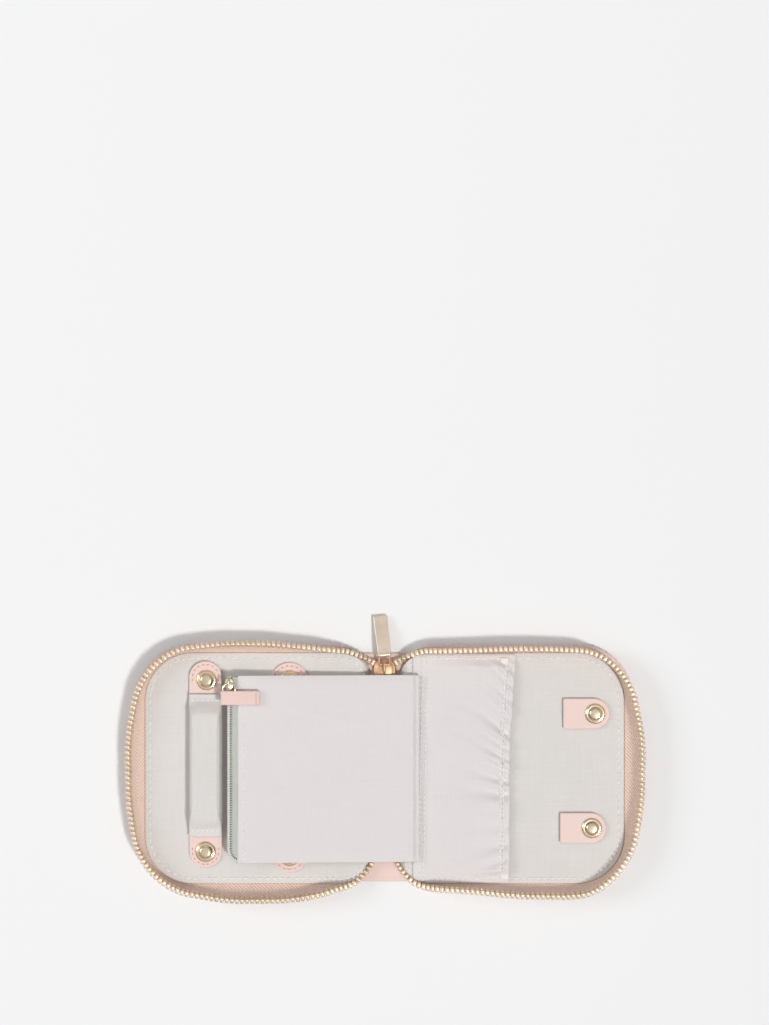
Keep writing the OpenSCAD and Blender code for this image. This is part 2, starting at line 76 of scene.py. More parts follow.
class Graph:
    """Short calls for building one material's nodes."""

    def __init__(self, name):
        self.material = bpy.data.materials.new(name)
        self.material.use_nodes = True
        self.tree = self.material.node_tree
        self.tree.nodes.clear()
        self.shader = self.tree.nodes.new("ShaderNodeBsdfPrincipled")
        out = self.tree.nodes.new("ShaderNodeOutputMaterial")
        self.tree.links.new(self.shader.outputs[0], out.inputs[0])

    def node(self, kind, inputs=(), output=0, **props):
        n = self.tree.nodes.new(kind)
        for key, value in props.items():
            setattr(n, key, value)
        for key, value in dict(inputs).items():
            self.put(n.inputs[key], value)
        return n.outputs[output]

    def put(self, socket, value):
        if isinstance(value, bpy.types.NodeSocket):
            self.tree.links.new(value, socket)
        else:
            socket.default_value = value

    def set(self, **inputs):
        for key, value in inputs.items():
            self.put(self.shader.inputs[key.replace("_", " ")], value)

    def math(self, op, a, b=0.0, c=0.0):
        return self.node("ShaderNodeMath", {0: a, 1: b, 2: c}, operation=op)

    def axes(self, at):
        return list(self.node("ShaderNodeSeparateXYZ", {0: at}).node.outputs)

    def wave(self, along, pitch):
        return self.math("SINE", self.math("MULTIPLY", along, 2 * math.pi / pitch))

    def relief_shade_and_wear(self, height, gain, scale):
        """A tone lighter where the weave stands high and darker where it lies low, a painted shade of the
        relief, with uneven random rubbing over it.
        """
        rub = self.math("SUBTRACT", self.noise(self.place(), scale), 0.5)
        tone = self.math("MULTIPLY_ADD", height, gain, 0.5)
        return self.math("ADD", tone, self.math("MULTIPLY", rub, 0.4))

    def mottled(self, noise, low, high, dark, light):
        return self.mix(self.ramp(noise, (low, (0, 0, 0)), (high, (1, 1, 1))), dark, light)

    def place(self, scale=(1, 1, 1), uv=False):
        coords = self.node("ShaderNodeTexCoord", output=2 if uv else 3)
        return self.node("ShaderNodeMapping", {0: coords, 3: scale})

    def noise(self, at, scale, detail=3.0, rough=0.55):
        return self.node(
            "ShaderNodeTexNoise",
            {"Vector": at, "Scale": scale, "Detail": detail, "Roughness": rough},
        )

    def ramp(self, factor, *stops):
        n = self.tree.nodes.new("ShaderNodeValToRGB")
        while len(n.color_ramp.elements) < len(stops):
            n.color_ramp.elements.new(0.5)
        for element, (where, colour) in zip(n.color_ramp.elements, stops):
            element.position = where
            element.color = (*colour, 1)
        self.put(n.inputs[0], factor)
        return n.outputs[0]

    def mix(self, factor, a, b, blend="MIX"):
        n = self.tree.nodes.new("ShaderNodeMix")
        n.data_type = "RGBA"
        n.blend_type = blend
        self.put(n.inputs[0], factor)
        self.put(n.inputs[6], (*a, 1) if isinstance(a, tuple) else a)
        self.put(n.inputs[7], (*b, 1) if isinstance(b, tuple) else b)
        return n.outputs[2]

    def bump(self, height, distance, strength=1.0, normal=None):
        n = self.tree.nodes.new("ShaderNodeBump")
        n.inputs["Distance"].default_value = distance * MM
        n.inputs["Strength"].default_value = strength
        self.put(n.inputs["Height"], height)
        if normal is not None:
            self.put(n.inputs["Normal"], normal)
        return n.outputs[0]


def linear(rgb):
    """Scene colour of an sRGB colour given as 0 to 255."""
    return tuple(
        c / 255 / 12.92 if c / 255 <= 0.04045 else ((c / 255 + 0.055) / 1.055) ** 2.4
        for c in rgb
    )


def tint(rgb, by):
    return tuple(min(1.0, c * by) for c in rgb)


def leather(name, rgb):
    """Smooth calf leather: fine pebbled grain, faint mottling, a soft sheen."""
    g = Graph(name)
    base = linear(rgb)
    at = g.place()
    pebbles = g.node(
        "ShaderNodeTexVoronoi",
        {"Vector": at, "Scale": 1150.0, "Randomness": 1.0},
        feature="SMOOTH_F1",
    )
    pores = g.noise(at, 2600.0, 2.0)
    mottle = g.noise(at, 85.0, 4.0)
    colour = g.mottled(mottle, 0.3, 0.7, tint(base, 0.985), tint(base, 1.01))
    colour = g.mix(g.math("MULTIPLY", pebbles, 0.22), colour, tint(base, 0.78))
    height = g.math("ADD", g.math("MULTIPLY", pebbles, -1.0), g.math("MULTIPLY", pores, 0.35))
    g.set(
        Base_Color=colour,
        Roughness=g.math("MULTIPLY_ADD", mottle, 0.08, 0.46),
        Normal=g.bump(height, 0.05, 0.5),
        Sheen_Weight=0.12,
        Specular_IOR_Level=0.4,
    )
    return g.material


def fabric(name, rgb, pitch=0.42, depth=0.05, slub=0.035):
    """Plain woven cloth: crossing threads, slubs along both of them, a soft bloom."""
    g = Graph(name)
    base = linear(rgb)
    x, y, _ = g.axes(g.place(PER_MM))
    weave = g.math("MULTIPLY", g.wave(x, pitch), g.wave(y, pitch))
    streaks = g.math("ADD", *(g.noise(g.place(along), 1.0) for along in ((90, 2400, 90), (2400, 90, 90))))
    cloudy = g.math("SUBTRACT", g.noise(g.place(), 60.0), 0.5)
    # the slub streaks and cloudy patches are the cloth's own tone; the weave's crossings added to them are
    # painted shade of the threads' relief
    lift = g.math("MULTIPLY_ADD", g.math("SUBTRACT", streaks, 1.0), slub * 3.4, 1.0)
    for part, share in ((cloudy, 1.2), (weave, 0.6)):
        lift = g.math("ADD", lift, g.math("MULTIPLY", part, slub * share))
    shade = g.node("ShaderNodeCombineColor", {0: lift, 1: lift, 2: lift})
    colour = g.mix(1.0, base, shade, "MULTIPLY")
    height = g.math("ADD", weave, g.math("MULTIPLY", streaks, 1.5))
    g.set(
        Base_Color=colour,
        Roughness=0.82,
        Normal=g.bump(height, depth, 0.4),
        Sheen_Weight=0.25,
        Sheen_Roughness=0.5,
        Specular_IOR_Level=0.25,
    )
    return g.material


def herringbone(name, rgb, pitch=1.6, width=3.1, depth=0.12):
    """Zip tape woven in steep chevrons, width across each arm. UV is in millimetres."""
    g = Graph(name)
    base = linear(rgb)
    u, v, _ = g.axes(g.place(uv=True))
    fold = g.math("MULTIPLY", g.math("PINGPONG", g.math("ADD", v, 0.64), width), -1.6)
    ridge, thread = g.wave(g.math("ADD", u, fold), pitch), g.wave(g.math("SUBTRACT", u, fold), 0.45)
    height = g.math("ADD", ridge, g.math("MULTIPLY", thread, 0.2))
    g.set(
        # colour follows the chevrons' height: painted shade in the grooves and painted light on the ridges,
        # with random rubbing
        Base_Color=g.ramp(g.relief_shade_and_wear(height, 0.42, 420.0), (0.0, tint(base, 0.76)), (1.0, tint(base, 1.2))),
        Roughness=0.72,
        Normal=g.bump(height, depth, 0.6),
        Sheen_Weight=0.2,
        Specular_IOR_Level=0.3,
    )
    return g.material


def ribbed(name, rgb, pitch, axis, depth=0.08, shade=0.86):
    """Narrow ribs side by side, as in a fine tape or an elastic, stacked along axis 0 or 1."""
    g = Graph(name)
    base = linear(rgb)
    parts = g.axes(g.place(PER_MM))
    rib, pick = g.wave(parts[axis], pitch), g.wave(parts[1 - axis], pitch * 0.6)
    height = g.math("ADD", rib, g.math("MULTIPLY", pick, 0.4))
    g.set(
        # colour follows the ribs' height, down to shade times the base in the grooves: painted shade of the
        # relief, with random rubbing
        Base_Color=g.ramp(g.relief_shade_and_wear(height, 0.3, 500.0), (0.0, tint(base, shade)), (1.0, tint(base, 1.08))),
        Roughness=0.75,
        Normal=g.bump(height, depth, 0.5),
        Specular_IOR_Level=0.3,
    )
    return g.material


def metal(name, rgb, rough, brushed=0.0, axis=(40, 40, 40)):
    """Plated metal: small polish marks, uneven gloss and faint tarnish in patches."""
    g = Graph(name)
    base = linear(rgb)
    marks = g.noise(g.place(tuple(a * 60 for a in axis)), 1.0, 4.0, 0.6)
    patch = g.noise(g.place(), 240.0)
    g.set(
        Base_Color=g.mottled(patch, 0.35, 0.7, tint(base, 0.93), tint(base, 1.05)),
        Metallic=1.0,
        Roughness=g.math("MULTIPLY_ADD", g.math("ADD", patch, marks), 0.12, rough - 0.1),
        Normal=g.bump(marks, 0.01, 0.15 + brushed),
    )
    return g.material


def thread(name, rgb):
    """Twisted sewing thread."""
    g = Graph(name)
    base = linear(rgb)
    x, y, _ = g.axes(g.place(PER_MM))
    twist = g.wave(g.math("ADD", x, y), 0.3)
    tone = g.math("MULTIPLY_ADD", twist, 0.5, 0.5)
    # the tone follows the twist, darker in its grooves and lighter on its ridges: painted shade of the twist
    g.set(
        Base_Color=g.ramp(tone, (0, tint(base, 0.88)), (1, tint(base, 1.05))),
        Roughness=0.55,
        Normal=g.bump(twist, 0.05, 0.5),
        Sheen_Weight=0.2,
    )
    return g.material


def fibrous(name, rgb, scale, depth):
    """Card, foam or stuffing, told apart by the size of their fibres."""
    g = Graph(name)
    base = linear(rgb)
    grain = g.noise(g.place(), scale, 5.0, 0.7)
    g.set(
        Base_Color=g.ramp(grain, (0.3, tint(base, 0.8)), (0.7, tint(base, 1.06))),
        Roughness=0.9,
        Normal=g.bump(grain, depth, 0.6),
    )
    return g.material


M_LEATHER = leather("blush leather", (232, 206, 199))
M_PULL_LEATHER = leather("pull leather", (231, 202, 194))
M_LINING = fabric("lining cloth", (216, 212, 209))
M_PAGE = fabric("page cloth", (220, 215, 215), slub=0.022)
M_TAPE = herringbone("blush zip tape", (244, 210, 194))
M_SAGE = ribbed("sage zip tape", (200, 202, 197), 0.9, 0, 0.12, 0.68)
M_COIL = ribbed("sage zip coil", (226, 225, 218), 0.5, 1, 0.04, 0.8)
# the cord's near-black tone is painted shade for the gaps between the coil's turns
M_CORE_SHADE = ribbed("zip cord painted dark as shade", (96, 96, 90), 0.5, 1, 0.04, 0.8)
M_TEETH = metal("zip teeth", (244, 226, 204), 0.55)
M_SNAP = metal("snap gold", (248, 230, 198), 0.2)
M_SLIDER = metal("slider bronze", (224, 184, 152), 0.5)
M_BAR = metal("pale gold bar", (250, 232, 212), 0.42, 0.1, (6, 90, 6))
M_PAGE_METAL = metal("pale nickel gold", (240, 230, 204), 0.26)
M_THREAD = thread("pale thread", (246, 247, 244))
M_ROSE_THREAD = thread("rose thread", (216, 168, 160))
M_BLUSH_THREAD = thread("blush thread", (236, 208, 200))
M_BOARD = fibrous("grey board", (190, 184, 174), 900.0, 0.05)
M_FOAM = fibrous("white foam", (236, 234, 228), 1600.0, 0.12)
M_STUFFING = fibrous("white stuffing", (240, 238, 234), 500.0, 0.3)
M_ELASTIC = ribbed("white elastic", (236, 234, 232), 0.8, 1)


# --- mesh building -------------------------------------------------------------------


def signed_volume(points, faces):
    """Six times a closed shell's volume, below zero when its faces look inwards."""
    total = 0.0
    for size in {len(f) for f in faces}:
        ring = points[np.array([f for f in faces if len(f) == size])]
        for k in range(1, size - 1):
            total += np.einsum("ij,ij->", ring[:, 0], np.cross(ring[:, k], ring[:, k + 1]))
    return total


class Shape:
    """Gathers closed shells, their faces turned outwards, each with its own material number."""

    def __init__(self):
        self.points, self.faces, self.numbers, self.uvs = [], [], [], []
        self.count = 0

    def add(self, points, faces, number=0, uv=None):
        points = np.asarray(points, float)
        way = -1 if signed_volume(points, faces) < 0 else 1
        self.points.append(points)
        self.faces += [tuple(self.count + i for i in f)[::way] for f in faces]
        self.numbers += [number] * len(faces)
        self.uvs.append(np.zeros((len(points), 2)) if uv is None else np.asarray(uv, float))
        self.count += len(points)
        return self

    def placed(self, place):
        """Moves every point by place, and turns the faces over where that mirrors them."""
        self.points = [place(p) for p in self.points]
        if np.linalg.det(place(np.eye(3)) - place(np.zeros((1, 3)))) < 0:
            self.faces = [f[::-1] for f in self.faces]
        return self


def make(name, shape, materials, body=None, replaces=()):
    """A Blender object from a Shape, riding on a CAD body."""
    if not isinstance(materials, (list, tuple)):
        materials = [materials]
    points = np.concatenate(shape.points) * MM
    mesh = bpy.data.meshes.new(name)
    mesh.from_pydata(points.tolist(), [], shape.faces)
    for m in materials:
        mesh.materials.append(m)
    mesh.polygons.foreach_set("material_index", shape.numbers)
    uv = np.concatenate(shape.uvs)
    if uv.any():
        layer = mesh.uv_layers.new(name="Weave")
        loops = np.empty(len(mesh.loops), int)
        mesh.loops.foreach_get("vertex_index", loops)
        layer.data.foreach_set("uv", uv[loops].ravel())
    mesh.polygons.foreach_set("use_smooth", [True] * len(mesh.polygons))
    mesh.validate()
    mesh.update()
    piece = bpy.data.objects.new(name, mesh)
    bpy.context.scene.collection.objects.link(piece)
    if body:
        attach(piece, body)
    if replaces:
        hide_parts(*replaces)
    return piece


def strip_faces(rows, columns):
    """Quads over a grid stored row by row, each row's end joined to its start."""
    pairs = [(j, (j + 1) % columns) for j in range(columns)]
    return [
        (i * columns + a, i * columns + b, (i + 1) * columns + b, (i + 1) * columns + a)
        for i in range(rows - 1)
        for a, b in pairs
    ]


def loft(rings):
    """Points and faces of a skin over closed rings, with a face over each end."""
    rings = [np.asarray(r, float) for r in rings]
    n = len(rings[0])
    faces = strip_faces(len(rings), n)
    faces.append(tuple(range(n - 1, -1, -1)))
    faces.append(tuple((len(rings) - 1) * n + j for j in range(n)))
    return np.concatenate(rings), faces


def edges(x0, x1, h, r0, r1, n0, n1, middle):
    """Stations (x, half height) along the top edge of a rounded panel."""
    a0 = np.linspace(0, math.pi / 2, n0 + 1)
    a1 = np.linspace(math.pi / 2, 0, n1 + 1)
    first = [(x0 + r0 * (1 - math.cos(a)), h - r0 * (1 - math.sin(a))) for a in a0]
    straight = np.linspace(x0 + r0, x1 - r1, middle + 1)[1:-1]
    last = [(x1 - r1 * (1 - math.cos(a)), h - r1 * (1 - math.sin(a))) for a in a1]
    return np.array(first + [(x, h) for x in straight] + last)


class Panel:
    """A panel symmetrical in Y, drawn as rings drawn in from its edge and filled columns.

    cut leaves its first side, at the lowest x, straight and never drawn in."""

    def __init__(self, stations, rows=16, cut=False):
        self.stations, self.rows, self.cut = stations, rows, cut
        self.m = len(stations) - 1
        x0, h0 = stations[0]
        x1, h1 = stations[-1]
        side = np.linspace(-1, 1, rows + 1)
        loop = [(x0, h0 * s) for s in side]
        loop += [tuple(p) for p in stations[1:-1]]
        loop += [(x1, -h1 * s) for s in side]
        loop += [(x, -h) for x, h in stations[-2:0:-1]]
        self.loop = np.array(loop)
        before, after = np.roll(self.loop, 1, 0), np.roll(self.loop, -1, 0)
        way = after - before
        out = np.stack([-way[:, 1], way[:, 0]], 1)
        self.out = out / np.linalg.norm(out, axis=1)[:, None]
        if cut:
            self.out[: rows + 1] = 0
            self.out[0], self.out[rows] = (0, -1), (0, 1)

    def lift(self, places, z):
        """Points at height z, a number or a function of x and y."""
        height = z(places[:, 0], places[:, 1]) if callable(z) else np.full(len(places), float(z))
        return np.column_stack([places, height])

    def ring(self, inset, z):
        return self.lift(self.loop - self.out * inset, z)

    def fill(self, ring, start, base, z):
        """Points inside a ring, numbered from base on, and the columns of all points across it.

        start is the number of the ring's first point."""
        rows, n = self.rows, len(ring)
        points, columns = [], [[start + j for j in range(rows + 1)]]
        for i in range(1, self.m):
            low, high = n - i, rows + i
            inner = range(base + len(points), base + len(points) + rows - 1)
            columns.append([start + low, *inner, start + high])
            a, b = ring[low, :2], ring[high, :2]
            points += [a + (b - a) * j / rows for j in range(1, rows)]
        columns.append([start + 2 * rows + self.m - j for j in range(rows + 1)])
        return self.lift(np.array(points), z), columns

    def solid(self, rings, low, high):
        """A closed solid through rings of (inset, z), from the low fill to the high one."""
        made = [self.ring(inset, z) for inset, z in rings]
        n = len(self.loop)
        points = np.concatenate(made)
        faces = [f[::-1] for f in strip_faces(len(made), n)]
        for ring, start, z, way in ((made[0], 0, low, -1), (made[-1], (len(made) - 1) * n, high, 1)):
            inside, columns = self.fill(ring, start, len(points), z)
            points = np.concatenate([points, inside])
            for a, b in zip(columns, columns[1:]):
                faces += [(a[j], b[j], b[j + 1], a[j + 1])[::way] for j in range(self.rows)]
        return Shape().add(points, faces)


def resample(path, pitch=None, count=None):
    """Points at even spacing along a 3-D path, and the whole length."""
    path = np.asarray(path, float)
    steps = np.linalg.norm(np.diff(path, axis=0), axis=1)
    run = np.concatenate([[0], np.cumsum(steps)])
    count = count or max(2, int(round(run[-1] / pitch)) + 1)
    at = np.linspace(0, run[-1], count)
    return np.column_stack([np.interp(at, run, path[:, k]) for k in range(3)]), run[-1]


def sweep(path, radius, sides=10, closed=False, squeeze=1.0, up=(0, 0, 1)):
    """A round or oval tube along a path; squeeze flattens it along up."""
    path = np.asarray(path, float)
    n = len(path)
    if closed:
        way = np.roll(path, -1, 0) - np.roll(path, 1, 0)
    else:
        way = np.gradient(path, axis=0)
    way /= np.linalg.norm(way, axis=1)[:, None]
    side = np.cross(way, np.array(up, float))
    side /= np.linalg.norm(side, axis=1)[:, None]
    over = np.cross(side, way)
    radius = np.broadcast_to(np.asarray(radius, float), (n,))
    rings = []
    for k in range(sides):
        a = 2 * math.pi * k / sides
        rings.append(path + (side * math.cos(a) + over * math.sin(a) * squeeze) * radius[:, None])
    points = np.stack(rings, 1).reshape(-1, 3)
    faces = strip_faces(n, sides)
    if closed:
        faces += [
            ((n - 1) * sides + j, (n - 1) * sides + (j + 1) % sides, (j + 1) % sides, j)
            for j in range(sides)
        ]
    else:
        faces.append(tuple(range(sides - 1, -1, -1)))
        faces.append(tuple((n - 1) * sides + j for j in range(sides)))
    return points, faces


def stitches(shape, path, pitch, length, radius, up=(0, 0, 1), sink=0.6, slant=0.0):
    """A row of thread stitches along a path, each one dipping into the cloth at its ends.

    up is the way out of the cloth, one for all or one for each point of the path."""
    path = np.asarray(path, float)
    run = np.concatenate([[0], np.cumsum(np.linalg.norm(np.diff(path, axis=0), axis=1))])
    ups = np.broadcast_to(np.asarray(up, float), path.shape)
    count = max(1, int(run[-1] / pitch))
    t = np.linspace(-1, 1, 7)
    thick = radius * np.sqrt(np.clip(1.02 - t**2, 0.04, 1)) ** 0.7
    for k in range(count):
        at = (k + 0.5) * run[-1] / count + t * length / 2
        line, over = ([np.interp(at, run, a[:, c]) for c in range(3)] for a in (path, ups))
        line, over = np.column_stack(line), np.column_stack(over)
        side = np.cross(over, line[-1] - line[0])
        line += side / np.linalg.norm(side, axis=1)[:, None] * (t * slant)[:, None]
        line += over * (radius * (1 - sink) - radius * 1.2 * t**4)[:, None]
        shape.add(*sweep(line, thick, 6, up=over[3]))
    return shape


def lathe(profile, centre, sides=48):
    """A turned shape from (radius, z) points, open on its axis at both ends."""
    angle = np.linspace(0, 2 * math.pi, sides, endpoint=False)
    rings = []
    for r, z in profile:
        r = max(r, 0.02)
        rings.append(np.column_stack([np.cos(angle) * r, np.sin(angle) * r, np.full(sides, z)]) + centre)
    return loft(rings)


# --- covers and linings --------------------------------------------------------------

cover_lo, cover_hi = span("right_cover")
lining_lo, lining_hi = span("right_lining")
rim_hi = {1: span("right_zip_teeth")[1], -1: span("left_zip_teeth")[1]}
COVER_X, COVER_Y = cover_hi[0], cover_hi[1]
SPINE_Y = span("spine_cover")[1][1]
LINING_X, LINING_Y, LINING_Z = lining_hi
LINING_IN = 5.8
BODY = {1: "right_half", -1: "left_half"}
SIDE = {1: "right", -1: "left"}
FOLD = cover_lo[0]


def across_fold(piece):
    """Bakes a piece's placement into its mesh and resets its transform."""
    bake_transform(piece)


def flip(points, side):
    return np.asarray(points, float) * np.array([side, 1.0, 1.0])


def leather_skin(side):
    """One half's leather with its half of the spine: waist, turned-up lip, rolled edges."""
    xs = list(np.linspace(0, FOLD, 12)) + list(FOLD + 9 * np.linspace(0, 1, 9)[1:])
    waist = [(x, SPINE_Y + (COVER_Y - SPINE_Y) * smooth((x - FOLD) / 9)) for x in xs]
    rest = edges(19.2, COVER_X, COVER_Y, 0.01, 24, 1, 16, 26)[2:]
    panel = Panel(np.array(waist + [tuple(p) for p in rest]), 26, cut=True)

    def lip(x, y):
        return 1.2 + 2.75 * smooth((np.abs(x) - FOLD - 0.5) / 7)

    def at(share, less=0.0):
        return lambda x, y: 1.2 + (lip(x, y) - 1.2) * share - less

    rings = [(2.4, 0.03), (1.2, 0.12), (0.45, 0.42), (0.06, 0.95), (0.0, at(0.35)), (0.0, at(0.8, 0.1))]
    rings += [(0.08, at(1, 0.22)), (0.3, at(1, 0.05)), (0.7, at(1)), (1.5, at(1)), (1.85, at(1, 0.12))]
    rings += [(2.0, at(0.8, 0.1)), (2.04, at(0.3)), (2.12, at(0.05)), (2.5, 1.2)]
    shape = panel.solid(rings, 0.03, 1.2).placed(lambda p: flip(p, side))
    piece = make(f"{SIDE[side]}_leather", shape, M_LEATHER)
    x = np.array([v.co.x for v in piece.data.vertices])
    for edge in piece.data.edges:  # the cut along the spine's middle must not shade the face
        edge.use_edge_sharp = bool(np.abs(x[list(edge.vertices)]).max() < 1e-7)
    across_fold(piece)
    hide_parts(f"{SIDE[side]}_cover", *(["spine_cover"] if side > 0 else []))
    first = panel.rows + int(np.argmax(panel.loop[panel.rows :, 0] > FOLD + 7))
    last = len(panel.loop) - (first - panel.rows)
    seam = panel.ring(0.0, lambda x, y: 1.2 + (lip(x, y) - 1.2) * 0.55)[first:last]
    out = np.column_stack([panel.out, np.zeros(len(panel.out))])[first:last]
    sewn = stitches(Shape(), flip(seam, side), 3.1, 2.1, 0.22, up=flip(out, side))
    make(f"{SIDE[side]}_cover_stitches", sewn, M_BLUSH_THREAD, BODY[side])


def drop(x):
    """How far a lining's inner edge falls towards the spine."""
    return (LINING_Z - 1.75) * (1 - smooth((np.abs(x) - LINING_IN) / 4.1))


def lining(side):
    """Padded fabric panel: crowned, with its edge rolled under and a sewn channel."""
    panel = Panel(edges(LINING_IN, LINING_X, LINING_Y, 13, 20.5, 16, 20, 40), 44)

    def level(less):
        def z(x, y):
            waves = 0.05 * np.sin(x / 7.3 + y / 11.0) * np.sin(y / 8.7 - x / 19.0)
            return LINING_Z - less - drop(x) - 0.05 + waves * (less < 0.02)
        return z

    rings = [(0.9, level(0.6)), (0.25, level(0.58)), (0.03, level(0.45)), (0.0, level(0.3))]
    crown = [(0.12, 0.14), (0.45, 0.03), (1.0, 0), (1.6, 0.02)]
    channel = [(1.95, 0.07), (2.25, 0.12), (2.55, 0.07), (3.0, 0.02), (3.7, 0)]
    rings += [(inset, level(less)) for inset, less in crown + channel]
    shape = panel.solid(rings, level(0.6), level(0)).placed(lambda p: flip(p, side))
    piece = make(f"{SIDE[side]}_lining_panel", shape, M_LINING)
    across_fold(piece)
    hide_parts(f"{SIDE[side]}_lining", *(["spine_lining"] if side > 0 else []))
    line = panel.ring(2.25, level(0.09))
    line = np.vstack([line, line[:1]])
    sewn = stitches(Shape(), flip(line, side), 3.1, 2.1, 0.36)
    sewn = make(f"{SIDE[side]}_lining_stitches", sewn, M_THREAD)
    across_fold(sewn)


# --- zip tapes and teeth -------------------------------------------------------------

WALL_X, WALL_Y, WALL_R = LINING_X + 1, LINING_Y + 0.9, 21.5
NOTCH_X, NOTCH_R = LINING_IN + 13, 14.0
START = FOLD + 2.95
FOOT_Z = 1.25
TOP = rim_hi[1][2]
# lean of the rim at mid-side, then its lean and X where it bulges at the top and the bottom
LEAN = {1: (6.8, (1.2, 60.0), (3.8, 68.0)), -1: (6.2, (3.8, 58.0), (6.0, 54.0))}
NOTCH_TURN = math.degrees(math.acos((START - NOTCH_X) / NOTCH_R))


def wall_path(side):
    """Foot, rim and way out of one half's zip tape, from the slider round to the bottom end."""

    def arc(x, radius, a0, a1, count):
        turns = np.radians(np.linspace(a0, a1, count))
        ways = zip(np.cos(turns), np.sin(turns))
        return [(x + radius * c, WALL_Y - radius + radius * s, c, s) for c, s in ways]

    stations = arc(NOTCH_X, NOTCH_R, NOTCH_TURN, 90, 9)
    stations += [(x, WALL_Y, 0, 1) for x in np.linspace(NOTCH_X, WALL_X - WALL_R, 24)[1:]]
    stations += arc(WALL_X - WALL_R, WALL_R, 90, 0, 22)[1:]
    stations += [(WALL_X, y, 1, 0) for y in np.linspace(WALL_Y - WALL_R, 0, 12)[1:]]
    stations += [(x, -y, nx, -ny) for x, y, nx, ny in stations[-2::-1]]
    feet, rims, outs = [], [], []
    side_lean, *end_leans = LEAN[side]
    for x, y, nx, ny in stations:
        high = 7.2 + (TOP - 7.2) * smooth((x - START) / 13)
        end_lean, bulge_x = end_leans[0 if ny >= 0 else 1]
        lean = side_lean * nx**2 * (1 - 0.85 * smooth((abs(y) - 5) / 42))
        lean += end_lean * ny**2 * (1 - 0.8 * smooth((abs(x - bulge_x) - 6) / 36))
        lean *= smooth((x - START) / 16)
        sway = 0.18 * math.sin(x / 9.0 + y / 7.0) * smooth((x - 20) / 20)
        tuck = 1.2 * lean / math.hypot(lean, high - FOOT_Z) + 0.05
        feet.append((x, y, FOOT_Z))
        rims.append((x + nx * (lean + sway), y + ny * (lean + sway), high - tuck))
        outs.append((nx, ny, 0))
    return feet, rims, outs


def zip_frame(side):
    """Feet, rims and ways out along the whole chain of one half, and the run along its rim."""
    wall = wall_path(side)

    def end(rim, sign, near, far, a1, count=12):
        """Feet, rims and ways out from the wall's last rim down to the spine."""
        parts = []
        for t in np.arange(1, count + 1) / count:
            a = math.radians(NOTCH_TURN + (a1 - NOTCH_TURN) * t)
            c, s = math.cos(a), sign * math.sin(a)
            foot_y = sign * (WALL_Y - NOTCH_R) + NOTCH_R * s
            foot = (NOTCH_X + NOTCH_R * c, foot_y, FOOT_Z + 1.4 * smooth(t * 1.3))
            bend = (1 - t) ** 2 * np.array(rim) + 2 * t * (1 - t) * np.array([*far, 4.6])
            parts.append((foot, bend + t**2 * np.array([*near, 3.5]), (c, s, 0)))
        return list(zip(*parts))

    top = end(wall[1][0], 1, (3.3, 46.0), (9.0, 48.2), 158)
    bottom = end(wall[1][-1], -1, (2.2, -37.4), (9.6, -46.6), 176)
    feet, rims, outs = (np.array([*t[::-1], *w, *b]) for t, w, b in zip(top, wall, bottom))
    run = np.concatenate([[0], np.cumsum(np.linalg.norm(np.diff(rims, axis=0), axis=1))])
    return feet, rims, outs, run


def sample(table, run, at):
    return np.column_stack([np.interp(at, run, table[:, k]) for k in range(3)])


def unit(v):
    return v / np.maximum(np.linalg.norm(v, axis=-1, keepdims=True), 1e-9)


TOOTH_PITCH, TOOTH_LEN = 2.15, 2.8


def zip_tape(side):
    """Woven tape: tucked under the lining, turned up at the lip, corded at the teeth."""
    feet, rims, outs, run = zip_frame(side)
    at = np.linspace(0, run[-1], 300)
    f, r, o = sample(feet, run, at), sample(rims, run, at), unit(sample(outs, run, at))
    up = unit(r - f)
    way = unit(np.gradient(r, axis=0))
    n = unit(np.cross(up, way))
    n *= np.sign((n * o).sum(1))[:, None]
    top = r - up * (TOOTH_LEN * 0.72)
    height = np.linalg.norm(top - f, axis=1)
    inner = lambda share, off: f + up * (height * share)[:, None] - n * off
    flat = smooth((np.abs(f[:, 0]) - 11) / 5)[:, None]
    tuck = f - o * 1.6 * flat + np.array([0, 0, 1.0]) * 1.75 * flat
    rows = [
        (tuck + np.array([0, 0, -0.3]) * flat, -1.6),
        (tuck, -1.2),
        (f - o * 0.5 * flat + np.array([0, 0, 2.15]) * flat + up * 0.35, 0.0),
        (inner(0.42, 0.32), 1.6),
        (inner(0.62, 0.34), 3.2),
        (inner(0.82, 0.34), 4.8),
        (inner(0.95, 0.34), 5.9),
        (inner(1.0, 0.5), 6.6),
        (inner(1.08, 0.52), 7.2),
        (inner(1.12, 0.0), 7.8),
        (inner(1.08, -0.52), 8.4),
        (inner(1.0, -0.5), 9.0),
        (inner(0.95, -0.34), 9.7),
        (inner(0.7, -0.42), 12.0),
        (inner(0.46, -0.6) + o * 0.25 * flat, 13.8),
        (f + o * 1.15 * flat + np.array([0, 0, 2.75]) * flat + o * 0.3, 15.6),
        (f + o * 0.35 * flat + np.array([0, 0, 0.9]) * flat, 17.4),
    ]
    uv = [(a, v) for a in at for p, v in rows]
    shape = Shape().add(*loft(np.stack([p for p, v in rows], 1)), uv=uv).placed(lambda p: flip(p, side))
    piece = make(f"{SIDE[side]}_tape", shape, M_TAPE)
    across_fold(piece)
    extra = ["zip_top_tapes", "zip_bottom_tapes"] if side > 0 else []
    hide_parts(f"{SIDE[side]}_zip_tape", *extra)


def tooth_sections():
    """Cross-sections of one tooth: clamp legs, waist, head with a rounded nib."""
    table = [(-2.8, 0.4, 0.9), (-2.62, 0.66, 1.12), (-2.2, 0.8, 1.25), (-1.5, 0.8, 1.25), (-1.1, 0.72, 1.15)]
    table += [(-0.75, 0.8, 1.25), (-0.35, 0.8, 1.2), (-0.12, 0.68, 1.0), (0.0, 0.42, 0.55)]
    rings = []
    for u, a, b in table:
        c = min(a, b) * 0.55
        corner = [(a, b - c), (a - c * 0.3, b - c * 0.3), (a - c, b)]
        half = corner + [(-x, y) for x, y in corner[::-1]]
        rings.append([(x, y, u) for x, y in half] + [(x, -y, u) for x, y in half[::-1]])
    return loft(rings)


